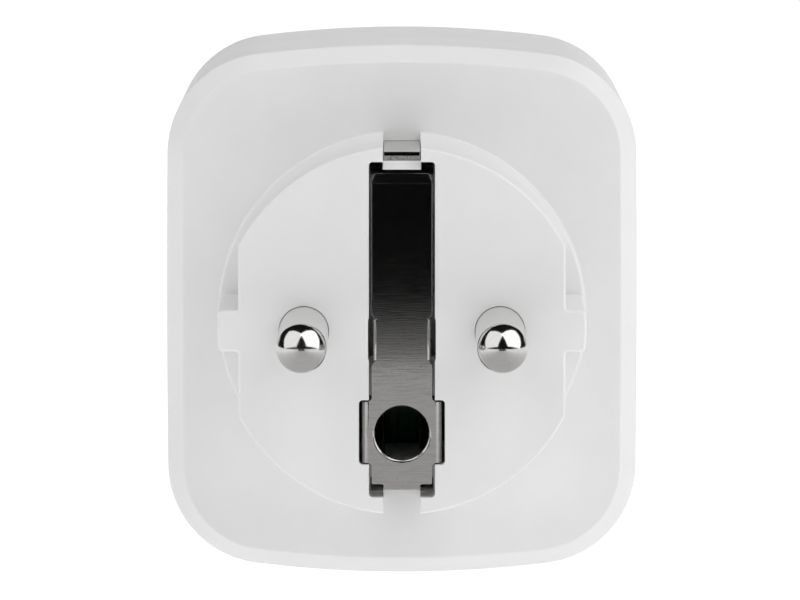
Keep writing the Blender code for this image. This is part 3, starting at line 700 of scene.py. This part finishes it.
bend_strip(contact, upper_route)
torn_top = Vector((0, 0, UPPER_FACE - BURNISHED)) * MM
work = bmesh.new()
work.from_mesh(contact.data)
end = [f for f in work.faces if f.normal.y < -0.9 and f.calc_center_median().y < NEAR_END * MM]
end_edges = dict.fromkeys(edge for face in end for edge in face.edges)
end_corners = dict.fromkeys(corner for face in end for corner in face.verts)
torn = [*end, *end_edges, *end_corners]
bmesh.ops.bisect_plane(work, geom=torn, dist=1e-8, plane_co=torn_top, plane_no=(0, 0, 1))
work.to_mesh(contact.data)
work.free()
dress(contact, BAR_NICKEL, "meter", "nickel_plate", "upper_side_contact")
SHEARED_NICKEL = surfaced(
    "sheared_nickel",
    worked,
    {
        "Colour": (0.55, 0.54, 0.53, 1),
        "Dull Colour": (0.06, 0.06, 0.06, 1),
        "Lines per Metre": (4200.0, 2500.0, 1500.0),
        "Line Depth": 0.00003,
        "Spots": 0.9,
        "Smoothest": 0.35,
        "Roughest": 0.6,
    },
    {"Metallic": 1.0},
)
contact.data.materials.append(SHEARED_NICKEL)
for polygon in contact.data.polygons:
    if polygon.normal.y < -0.9 and polygon.center.y < NEAR_END * MM and polygon.center.z < torn_top.z:
        polygon.material_index = 1

# ---------------------------------------------------------------- straps, rivets and socket contacts
# Brass stampings that carry the load current: two links from the pins to the board, two slit sleeves that
# grip the pins of a plug in the socket, and two rivets. Their shapes are right as they are.
BRASS = surfaced(
    "half_hard_brass",
    worked,
    {
        "Colour": (0.76, 0.58, 0.29, 1),
        "Dull Colour": (0.45, 0.3, 0.13, 1),
        "Lines per Metre": (200.0, 3000.0, 5000.0),
        "Smoothest": 0.22,
        "Roughest": 0.4,
    },
    {"Metallic": 1.0},
)


def coat(material, *names):
    """Gives CAD nodes, which keep their shape, their real finish."""
    for name in names:
        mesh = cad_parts[name].data
        mesh.materials.clear()
        mesh.materials.append(material)


coat(BRASS, "live_link", "neutral_link", "live_contact", "neutral_contact", "relay_fixed_contact")
coat(BRASS, "upper_earth_rivet", "lower_earth_rivet")

# ---------------------------------------------------------------- circuit boards
# Glass-fibre boards under a green solder mask, 1.6 mm on the main one. Copper tracks show through the mask
# as a slightly lighter green, in straight runs.
mask, given, result = new_group(
    "solder_mask",
    (("Colour", COLOUR, (0.01, 0.13, 0.05, 1)), ("Track Colour", COLOUR, (0.03, 0.25, 0.09, 1))),
    SURFACE_OUTPUTS,
)
place = add(mask, "ShaderNodeTexCoord").outputs["Object"]
tracks = add(
    mask,
    "ShaderNodeTexVoronoi",
    {"Vector": place, "Scale": 320.0, "Randomness": 0.7},
    distance="CHEBYCHEV",
    feature="F2",
)
runs = ranged(mask, tracks.outputs["Distance"], 0.55, 0.57)
weave = noise(mask, place, 2400.0, 2.0)
tint = blended(mask, runs, given.outputs["Colour"], given.outputs["Track Colour"])
gloss = ranged(mask, weave, to_low=0.22, to_high=0.45)
give_surface(mask, result, tint, gloss, runs, 0.00003)
coat(surfaced("green_solder_mask", mask, {}), "main_board", "radio_board")

# ---------------------------------------------------------------- components on the board
# Bought-in parts, each in its own moulded, dipped or sleeved coat: the relay's cover, the capacitors, the
# varistor, the fusible resistor, the chips, and the copper staple that the load current is measured across.
COATS = {
    "black_moulding": ((0.02, 0.02, 0.021), (0.035, 0.035, 0.036), 12000.0, 0.45, 0.6),
    "relay_cover": ((0.03, 0.09, 0.3), (0.04, 0.11, 0.34), 6000.0, 0.3, 0.45),
    "printed_sleeve": ((0.02, 0.03, 0.06), (0.03, 0.045, 0.08), 3000.0, 0.25, 0.35),
    "yellow_box": ((0.76, 0.55, 0.05), (0.8, 0.6, 0.09), 5000.0, 0.3, 0.42),
    "blue_dip": ((0.04, 0.13, 0.38), (0.06, 0.16, 0.42), 1500.0, 0.2, 0.3),
    "green_cement": ((0.2, 0.33, 0.21), (0.26, 0.4, 0.27), 4000.0, 0.5, 0.75),
}
COATED = {
    "black_moulding": ("relay_base", "switch_body", "switch_plunger", "bridge_rectifier", "supply_chip"),
    "relay_cover": ("relay_cover",),
    "printed_sleeve": ("bulk_capacitor_1", "bulk_capacitor_2"),
    "yellow_box": ("film_capacitor",),
    "blue_dip": ("varistor",),
    "green_cement": ("fuse_resistor",),
}
coats = {}
for name, (colour, shade, grain_scale, smoothest, roughest) in COATS.items():
    coats[name] = surfaced(
        name,
        moulded,
        {
            "Colour": (*colour, 1),
            "Shade": (*shade, 1),
            "Grain per Metre": grain_scale,
            "Smoothest": smoothest,
            "Roughest": roughest,
        },
    )
    coat(coats[name], *COATED[name])
coat(coats["black_moulding"], "metering_chip", "choke")

STEEL = surfaced(
    "bright_steel",
    worked,
    {
        "Colour": (0.56, 0.56, 0.57, 1),
        "Dull Colour": (0.34, 0.34, 0.35, 1),
        "Lines per Metre": (80.0, 3000.0, 3000.0),
        "Smoothest": 0.2,
        "Roughest": 0.34,
    },
    {"Metallic": 1.0},
)
coat(STEEL, "relay_yoke", "relay_armature", "radio_shield", "shutter_spring")
COPPER = surfaced(
    "drawn_copper",
    worked,
    {"Colour": (0.8, 0.4, 0.24, 1), "Dull Colour": (0.5, 0.2, 0.1, 1), "Smoothest": 0.25, "Roughest": 0.4},
    {"Metallic": 1.0},
)
coat(COPPER, "current_shunt")

# ---------------------------------------------------------------- relay winding
# Enamelled copper wire, wound turn beside turn on the relay's bobbin. The end flanges are part of the
# bobbin, moulded in black.
coil_low, coil_high = (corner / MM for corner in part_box("relay_coil"))
coil_x = (coil_low.x + coil_high.x) / 2
coil_z = (coil_low.z + coil_high.z) / 2


def winding_tree():
    """Geometry Nodes that lay a wire in turns round the local Z axis, from its start upwards."""
    tree = bpy.data.node_groups.new("wire_turns", "GeometryNodeTree")
    tree.interface.new_socket("Geometry", in_out="INPUT", socket_type="NodeSocketGeometry")
    for label, kind, value in (
        ("Turns", "NodeSocketFloat", 10.0),
        ("Radius", "NodeSocketFloat", 0.003),
        ("Length", "NodeSocketFloat", 0.005),
        ("Wire Radius", "NodeSocketFloat", 0.0002),
        ("Points", "NodeSocketInt", 400),
        ("Sides", "NodeSocketInt", 8),
    ):
        tree.interface.new_socket(label, in_out="INPUT", socket_type=kind).default_value = value
    tree.interface.new_socket("Wire", in_out="INPUT", socket_type="NodeSocketMaterial")
    tree.interface.new_socket("Geometry", in_out="OUTPUT", socket_type="NodeSocketGeometry")
    given, result = tree.nodes.new("NodeGroupInput"), tree.nodes.new("NodeGroupOutput")
    line = add(tree, "GeometryNodeMeshLine", {"Count": given.outputs["Points"]})
    curve = add(tree, "GeometryNodeMeshToCurve", {"Mesh": line.outputs["Mesh"]})
    share = add(tree, "GeometryNodeSplineParameter").outputs["Factor"]
    turns = add(tree, "ShaderNodeMath", {0: share, 1: given.outputs["Turns"]}, operation="MULTIPLY")
    angle = add(tree, "ShaderNodeMath", {0: turns.outputs[0], 1: math.tau}, operation="MULTIPLY")
    spots = []
    for turn in ("COSINE", "SINE"):
        ratio = add(tree, "ShaderNodeMath", {0: angle.outputs[0]}, operation=turn)
        reach = {0: ratio.outputs[0], 1: given.outputs["Radius"]}
        spots.append(add(tree, "ShaderNodeMath", reach, operation="MULTIPLY").outputs[0])
    rise = add(tree, "ShaderNodeMath", {0: share, 1: given.outputs["Length"]}, operation="MULTIPLY")
    at = add(
        tree,
        "ShaderNodeCombineXYZ",
        {"X": spots[0], "Y": spots[1], "Z": rise.outputs[0]},
    )
    laid = add(
        tree,
        "GeometryNodeSetPosition",
        {"Geometry": curve.outputs["Curve"], "Position": at.outputs["Vector"]},
    )
    section = add(
        tree,
        "GeometryNodeCurvePrimitiveCircle",
        {"Resolution": given.outputs["Sides"], "Radius": given.outputs["Wire Radius"]},
    )
    wire = add(
        tree,
        "GeometryNodeCurveToMesh",
        {"Curve": laid.outputs["Geometry"], "Profile Curve": section.outputs["Curve"], "Fill Caps": True},
    )
    whole = add(tree, "GeometryNodeRealizeInstances", {"Geometry": wire.outputs["Mesh"]})
    painted = add(
        tree,
        "GeometryNodeSetMaterial",
        {"Geometry": whole.outputs["Geometry"], "Material": given.outputs["Wire"]},
    )
    tree.links.new(painted.outputs["Geometry"], result.inputs["Geometry"])
    return tree


wire_turns = winding_tree()


def grow_nodes(name, tree, values):
    """A plain mesh made by a Geometry Nodes tree with these inputs."""
    obj = bpy.data.objects.new(name, bpy.data.meshes.new(name))
    bpy.context.scene.collection.objects.link(obj)
    step = obj.modifiers.new("nodes", "NODES")
    step.node_group = tree
    for item in tree.interface.items_tree:
        if item.in_out == "INPUT" and item.name in values:
            step[item.identifier] = values[item.name]
    return apply_steps(obj)


def stand(obj, turn, place):
    """Turns and moves a mesh's own points, so that its object stays at the origin."""
    obj.data.transform(Euler(turn).to_matrix().to_4x4())
    obj.data.transform(Matrix.Translation(Vector(place) * MM))
    return obj


winding = grow_nodes(
    "relay_winding",
    wire_turns,
    {
        "Turns": 22.0,
        "Radius": 3.3 * MM,
        "Length": 4.3 * MM,
        "Wire Radius": 0.11 * MM,
        "Points": 900,
        "Sides": 6,
        "Wire": COPPER,
    },
)
stand(winding, (-math.pi / 2, 0, 0), (coil_x, 25.6, coil_z))
dress(winding, COPPER, "meter", "copper")
bobbin_profile = [
    (0, 24.7), (3.55, 24.7), (3.7, 24.8), (3.7, 25.4), (3.6, 25.5), (3.2, 25.5), (3.2, 30.0), (3.6, 30.0),
    (3.7, 30.1), (3.7, 30.6), (3.6, 30.7), (1.3, 30.7), (1.3, 31.05), (1.2, 31.1), (0, 31.1),
]  # fmt: skip
bobbin = turned("relay_bobbin", bobbin_profile, coil_x, coil_z, sides=48)
dress(bobbin, coats["black_moulding"], "meter", "black_plastic", "relay_coil")

# ---------------------------------------------------------------- child shutter
# A sliding bar in the same white plastic, in a tray behind the socket's floor. A small coil of spring wire
# holds it up over both holes, and a plug's pins wedge it down.
coat(WHITE_ABS, "shutter", "shutter_carrier")

# ---------------------------------------------------------------- front housing
# The white front, moulded with the socket's well, its floor and three screw posts. It plugs into the rear
# housing by a lip, and is welded there, which leaves a fine shadow line round the case.
SEAM_GAP = 0.25
FRONT_START = REAR_END + SEAM_GAP
CASE_FRONT = 55.0
FRONT_ROUND = 2.0
WELL_RADIUS, WELL_FLOOR = 19.5, 37.5
WELL_WALL = 1.4
GUIDE_X, GROOVE_X = 16.4, 18.6
MOUTH_HALF, GROOVE_HALF = 2.45, 2.25
HOLE_RADIUS = 2.8
BOARD_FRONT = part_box("main_board")[1].y / MM
button_low, button_high = (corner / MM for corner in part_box("power_button"))
BUTTON_X = (button_low.x + button_high.x) / 2
BUTTON_Z = (button_low.z + button_high.z) / 2
BUTTON_HOLE = 3.7

front_levels = [(FRONT_START + d, i) for d, i in edge_round(SEAM_ROUND)]
front_levels += [(CASE_FRONT - d, i) for d, i in reversed(edge_round(FRONT_ROUND, 8))]
front = loft("front_shell", [(y, case_outline(inset)) for y, inset in front_levels])


def well_outline():
    """The well's outline: round, with a guide at each side, and a groove in each guide for a plug's key."""
    meet = math.sqrt(WELL_RADIUS**2 - GUIDE_X**2)
    edge = math.atan2(meet, GUIDE_X)
    side = [
        (GUIDE_X, -meet, 0.5), (GUIDE_X, -MOUTH_HALF, 0.35), (GROOVE_X, -GROOVE_HALF, 0.3),
        (GROOVE_X, GROOVE_HALF, 0.3), (GUIDE_X, MOUTH_HALF, 0.35), (GUIDE_X, meet, 0.5),
    ]  # fmt: skip
    arc_steps = 47
    turns = [edge + (math.pi - 2 * edge) * i / arc_steps for i in range(1, arc_steps)]
    half = side + [(WELL_RADIUS * math.cos(a), WELL_RADIUS * math.sin(a), 0) for a in turns]
    return rounded(half + [(-x, -z, radius) for x, z, radius in half])


carve(front, loft("skirt_hollow", [(y, case_outline(WALL)) for y in (FRONT_START - 1, CASE_FRONT - WALL)]))
lip_ring = loft("lip_ring", [(y, case_outline(WALL + SEAM_GAP)) for y in (45.0, 49.9)])
carve(lip_ring, loft("lip_room", [(y, case_outline(WALL + 1.2)) for y in (44.0, 51.0)]))
ledge = loft("lip_ledge", [(y, case_outline(WALL - 0.5)) for y in (48.6, 49.8)])
carve(ledge, loft("ledge_room", [(y, case_outline(WALL + 1.1)) for y in (48.0, 51.0)]))
join(front, lip_ring, ledge)
well_out = WELL_RADIUS + WELL_WALL
well_back = WELL_FLOOR - WALL
join(front, turned("well_tub", [(0, well_back), (well_out, well_back), (well_out, 54), (0, 54)], sides=128))
SCREWS = ("board_screw_1", "board_screw_2", "board_screw_3")
POST, POST_BORE = 2.2, 1.3
for name in SCREWS:
    low, high = (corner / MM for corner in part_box(name))
    start = BOARD_FRONT + SEAM_GAP
    post = [(POST_BORE, start + 0.1), (POST_BORE + 0.1, start), (POST - 0.1, start), (POST, start + 0.1)]
    post += [(POST, 54), (0, 54), (0, 34), (POST_BORE, 34)]
    middle = (low + high) / 2
    join(front, turned(name + "_post", post, middle.x, middle.z, sides=32, closed=True))
rim_face = CASE_FRONT + 0.01
well_levels = [(CASE_FRONT + 1, 0.25)] + [(rim_face - d, i) for d, i in edge_round(0.25, 4)]
well_levels += [(WELL_FLOOR + d, -i) for d, i in reversed(edge_round(0.2, 4))]
mouth_curve = ((-0.2, 1.15), (0.12, 0.5), (0.5, 0.12), (0.82, 0))
mouth = [(0, rim_face - 1.15)] + [(WELL_RADIUS + out, rim_face - deep) for out, deep in mouth_curve]
mouth += [(WELL_RADIUS + 0.82, CASE_FRONT + 1), (0, CASE_FRONT + 1)]
mouth_ring = turned("well_mouth", mouth, sides=128)
carve(mouth_ring, block("left_guide_kept", (-25, 50, -25), (0.1 - GUIDE_X, 60, 25)))
carve(mouth_ring, block("right_guide_kept", (GUIDE_X - 0.1, 50, -25), (25, 60, 25)))
carve(front, prism("well_room", well_outline(), well_levels), mouth_ring)
for side in (-1, 1):
    hole = [(0, WELL_FLOOR + 1), (HOLE_RADIUS + 0.6, WELL_FLOOR + 1)]
    hole += [(HOLE_RADIUS + i, WELL_FLOOR - d) for d, i in edge_round(0.6, 5)]
    hole += [(HOLE_RADIUS, well_back - 1), (0, well_back - 1)]
    carve(front, turned(f"socket_hole_{side}", hole, side * PIN_X, sides=64))
    z = sorted((side * 17.0, side * 21.6))
    carve(front, block(f"clip_window_{side}", (-2.4, 38.2, z[0]), (2.4, 51.8, z[1])))
button_hole = [(0, CASE_FRONT + 1), (BUTTON_HOLE + 0.2, CASE_FRONT + 1)]
button_hole += [(BUTTON_HOLE + i, rim_face - d) for d, i in edge_round(0.2, 4)]
button_hole += [(BUTTON_HOLE, CASE_FRONT - 4), (0, CASE_FRONT - 4)]
carve(front, turned("button_hole", button_hole, BUTTON_X, BUTTON_Z, sides=64))
dress(front, WHITE_ABS, "meter", "white_plastic", "front_housing")

# ---------------------------------------------------------------- socket earth clips
# Two springs of stainless strip, riveted to the plug's earth strips. Each hooks round the well's wall and
# bows in through a window, where it rubs on the side of the plug.
CLIP_HALF = 1.8
clip_route = rounded(
    [
        (24.2, 18.1, 0), (31.0, 18.1, 0.8), (33.6, 21.6, 0.8), (51.0, 21.6, 0.7), (49.6, 19.4, 0.7),
        (45.0, 17.0, 1.2), (41.6, 18.2, 1.2), (39.4, 20.6, 0),
    ],
    closed=False,
    steps=8,
)  # fmt: skip
clip_length = sum((b - a).length for a, b in zip(clip_route, clip_route[1:]))
for name, side in (("upper", 1), ("lower", -1)):
    half = [(CLIP_HALF, -clip_length, 0.4), (CLIP_HALF, 0.0, 0.4)]
    clip = blank(f"{name}_socket_clip", rounded(mirrored(half)))
    carve(clip, rivet_hole(-2.8))
    bend_strip(clip, clip_route, BAR_THICKNESS / 2, side)
    dress(clip, STEEL, "meter", "spring_steel", f"{name}_earth_clip")

# ---------------------------------------------------------------- button, light ring and switch
# A white cap with a shallow dish for the fingertip, on a stem down to a small push switch. A clear acrylic
# ring round it is lit through a leg that stands on the board's light.
CAP_RADIUS = 2.6
STEM_RADIUS = 1.2
cap = [(0, button_high.y - 0.28), (0.8, button_high.y - 0.25), (1.5, button_high.y - 0.12)]
cap += [(1.95, button_high.y - 0.02), (2.1, button_high.y)]
cap += [(CAP_RADIUS - i, button_high.y - d) for d, i in edge_round(0.45, 6)][1:]
cap += [
    (CAP_RADIUS, 50.9), (CAP_RADIUS - 0.1, 50.8), (STEM_RADIUS + 0.2, 50.8), (STEM_RADIUS, 50.6),
    (STEM_RADIUS, button_low.y + 0.1), (STEM_RADIUS - 0.1, button_low.y), (0, button_low.y),
]  # fmt: skip
button = turned("button_cap_and_stem", cap, BUTTON_X, BUTTON_Z, sides=72)
dress(button, WHITE_ABS, "button_cap", "white_plastic", "power_button")

RING_OUT, RING_IN, RING_BACK = 3.45, 2.85, 51.4
ring_face = [(RING_OUT - i, CASE_FRONT - d) for d, i in edge_round(0.15, 4)]
ring_rim = [(RING_IN + i, CASE_FRONT - d) for d, i in reversed(edge_round(0.15, 4))]
ring = turned(
    "clear_ring",
    [(RING_OUT, RING_BACK), (RING_IN, RING_BACK), *ring_rim, *ring_face],
    BUTTON_X,
    BUTTON_Z,
    sides=72,
    closed=True,
)
leg_low, leg_high = (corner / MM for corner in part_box("status_led"))
leg_x, leg_z = (leg_low.x + leg_high.x) / 2, (leg_low.z + leg_high.z) / 2
leg_start = leg_high.y + 0.4
leg = [(0, leg_start), (0.7, leg_start), (0.8, leg_start + 0.1), (0.8, 52.4), (0.7, 52.5), (0, 52.5)]
bridge = turned("ring_bridge", [(0, -0.9), (0.7, -0.9), (0.7, 1.3), (0, 1.3)], sides=24)
toward_leg = math.atan2(leg_z - BUTTON_Z, leg_x - BUTTON_X)
stand(bridge, (0, 0, -math.pi / 2), (0, 0, 0))
stand(bridge, (0, -toward_leg, 0), (BUTTON_X + 3.36, 52.0, BUTTON_Z + 2.43))
join(ring, bridge, turned("ring_leg", leg, leg_x, leg_z, sides=32))
acrylic, given, result = new_group(
    "clear_moulding",
    (("Colour", COLOUR, (0.9, 0.93, 0.95, 1)), ("Shade", COLOUR, (0.84, 0.88, 0.9, 1))),
    SURFACE_OUTPUTS,
)
place = add(acrylic, "ShaderNodeTexCoord").outputs["Object"]
flow = noise(acrylic, place, 900.0, 2.0)
tint = blended(acrylic, flow, given.outputs["Colour"], given.outputs["Shade"])
gloss = ranged(acrylic, flow, to_low=0.08, to_high=0.25)
give_surface(acrylic, result, tint, gloss, flow, 0.000004)
ACRYLIC = surfaced("clear_acrylic", acrylic, {}, {"Transmission Weight": 0.55, "IOR": 1.49})
dress(ring, ACRYLIC, "meter", "light_guide", "light_ring")
coat(ACRYLIC, "status_led")

# ---------------------------------------------------------------- screws
# Three pan-head screws of plated steel hold the board to the front housing's posts.
coat(STEEL, *SCREWS)

# ---------------------------------------------------------------- floor, light and camera
# A white sweep of paper, lit by two large soft boxes, one at each side and a little before the meter, with
# a dim fill behind it. The paper also glows: painted bounce light on the meter's underside, and for the
# metal a painted reflection, darker along the middle. A dark sheet lies in front, where only the bright
# metal can
# see it: painted shade in its reflections, lighter towards the meter.
# Strength of the paper's glow: painted bounce light on the meter.
FLOOR_BOUNCE_GLOW = 0.72
# Where the dark sheet of painted shade starts, and where it is darkest.
SHADE_SHEET_START, SHADE_SHEET_DARKEST = -0.222, -0.322
floor_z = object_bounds()[0].z


def sheet(name, corners):
    """A flat sheet on the floor through (x, y) corners, in metres, as part of the studio."""
    mesh = bpy.data.meshes.new(name)
    mesh.from_pydata([(x, y, 0) for x, y in corners], [], [range(len(corners))])
    obj = bpy.data.objects.new(name, mesh)
    bpy.context.scene.collection.objects.link(obj)
    return obj


paper = bpy.data.materials.new("white_paper")
paper.use_nodes = True
tree = paper.node_tree
tree.nodes.remove(tree.nodes["Principled BSDF"])
place = add(tree, "ShaderNodeTexCoord").outputs["Object"]
fibres = add(tree, "ShaderNodeTexNoise", {"Scale": 800.0, "Detail": 3.0}).outputs["Fac"]
paper_tint = blended(tree, fibres, (0.5, 0.5, 0.5, 1), (0.48, 0.48, 0.48, 1))
real = add(tree, "ShaderNodeBsdfDiffuse", {"Color": paper_tint})
# Painted bounce light: the paper glows, for the light it throws onto the meter's underside.
painted_bounce_glow = add(tree, "ShaderNodeEmission", {"Color": (1, 1, 1, 1), "Strength": FLOOR_BOUNCE_GLOW})
lit = add(tree, "ShaderNodeAddShader", {0: real.outputs[0], 1: painted_bounce_glow.outputs[0]})
# Painted reflection: for the metal the paper is a glow, darker along the middle as painted shade.
sideways = add(tree, "ShaderNodeSeparateXYZ", {"Vector": place}).outputs["X"]
outward = add(tree, "ShaderNodeMath", {0: sideways}, operation="ABSOLUTE").outputs["Value"]
brighter = ranged(tree, outward, 0.02, 0.14, 0.53, 1.0)
painted_floor_reflection = add(tree, "ShaderNodeEmission", {"Strength": brighter})
glow = add(tree, "ShaderNodeEmission", {"Color": (1, 1, 1, 1), "Strength": 1.3})
washed = add(tree, "ShaderNodeMixShader", {0: 0.78, 1: real.outputs[0], 2: glow.outputs[0]})
path = add(tree, "ShaderNodeLightPath").outputs
softer = add(tree, "ShaderNodeMixShader", {0: path["Is Glossy Ray"], 1: lit.outputs[0]})
tree.links.new(painted_floor_reflection.outputs[0], softer.inputs[2])
chosen = add(tree, "ShaderNodeMixShader", {0: path["Is Camera Ray"], 1: softer.outputs[0]})
tree.links.new(washed.outputs[0], chosen.inputs[2])
tree.links.new(chosen.outputs[0], tree.nodes["Material Output"].inputs["Surface"])
floor = sheet("paper_floor", ((-6, -6), (6, -6), (6, 6), (-6, 6)))
floor.location.z = floor_z
floor.data.materials.append(paper)

# A dark sheet, seen only in the metal's reflections, stands in for the shade before the meter: painted
# shade, lighter towards the meter.
shade_sheet_material = bpy.data.materials.new("painted_shade_sheet")
shade_sheet_material.use_nodes = True
tree = shade_sheet_material.node_tree
place = add(tree, "ShaderNodeTexCoord").outputs["Object"]
lengthways = add(tree, "ShaderNodeSeparateXYZ", {"Vector": place}).outputs["Y"]
shade = ranged(tree, lengthways, SHADE_SHEET_DARKEST, SHADE_SHEET_START, interpolation_type="SMOOTHERSTEP")
painted_shade_tint = blended(tree, shade, (0.004, 0.004, 0.004, 1), (0.2, 0.2, 0.2, 1))
tree.links.new(painted_shade_tint, tree.nodes["Principled BSDF"].inputs["Base Color"])
tree.nodes["Principled BSDF"].inputs["Roughness"].default_value = 0.95
tree.nodes["Principled BSDF"].inputs["Specular IOR Level"].default_value = 0.0
# The sheet of painted shade, hidden from the camera.
shade_sheet = sheet("painted_shade_sheet", ((-0.5, -2), (0.5, -2), (0.06, SHADE_SHEET_START), (-0.06, SHADE_SHEET_START)))
shade_sheet.location.z = floor_z + 0.0005
shade_sheet.data.materials.append(shade_sheet_material)
shade_sheet.visible_camera = False


def soft_box(name, azimuth, elevation, roll, width, height, radiance, distance=1.0):
    """A square soft box that faces the meter from a direction. Azimuth 0 is in front of the plug."""
    lamp = bpy.data.lights.new(name, "AREA")
    lamp.shape = "RECTANGLE"
    lamp.size, lamp.size_y = width, height
    lamp.energy = radiance * math.pi * width * height
    obj = bpy.data.objects.new(name, lamp)
    bpy.context.scene.collection.objects.link(obj)
    turn, rise = math.radians(azimuth), math.radians(elevation)
    toward = Vector((math.sin(turn) * math.cos(rise), -math.cos(turn) * math.cos(rise), math.sin(rise)))
    obj.location = toward * distance
    aim = toward.to_track_quat("Z", "Y").to_matrix()
    obj.rotation_euler = (aim @ Euler((0, 0, math.radians(roll))).to_matrix()).to_euler()
    obj.visible_camera = False
    return obj


soft_box("left_soft_box", -60.0, 41.0, 15.0, 1.4, 1.45, 1.14)
soft_box("right_soft_box", 66.0, 42.0, -19.0, 1.5, 1.5, 1.58)
fill = soft_box("back_fill", 180.0, 38.0, 0.0, 1.2, 1.0, 0.9)
fill.visible_glossy = False

world = bpy.data.worlds.new("studio")
bpy.context.scene.world = world
world.use_nodes = True
tree = world.node_tree
direction = add(tree, "ShaderNodeTexCoord").outputs["Generated"]
parts = add(tree, "ShaderNodeSeparateXYZ", {"Vector": direction})
low = ranged(tree, parts.outputs["Z"], 0.2, 0.24, 1.0, 0.0)
behind = ranged(tree, parts.outputs["Y"], 0.6, 0.8)
sweep = add(tree, "ShaderNodeMath", {0: low, 1: behind}, operation="MULTIPLY")
around = ranged(tree, sweep.outputs["Value"], to_low=0.006, to_high=0.68)
seen = add(tree, "ShaderNodeLightPath").outputs["Is Camera Ray"]
strength = add(tree, "ShaderNodeMix", {0: seen, 2: around, 3: 1.0})
tree.links.new(strength.outputs[0], tree.nodes["Background"].inputs["Strength"])
tree.nodes["Background"].inputs["Color"].default_value = (1, 1, 1, 1)
bpy.context.scene.view_settings.view_transform = "Standard"

CAMERA_DISTANCE = 0.694
CAMERA_RISE = math.radians(5.5)
camera = bpy.data.objects.new("camera", bpy.data.cameras.new("camera"))
bpy.context.scene.collection.objects.link(camera)
bpy.context.scene.camera = camera
camera.data.lens = 322.6
camera.data.clip_start, camera.data.clip_end = 0.05, 20.0
camera.location = Vector((0, -math.cos(CAMERA_RISE), math.sin(CAMERA_RISE))) * CAMERA_DISTANCE
camera.rotation_euler = (math.pi / 2 - CAMERA_RISE + math.radians(0.25), 0, math.radians(0.015))
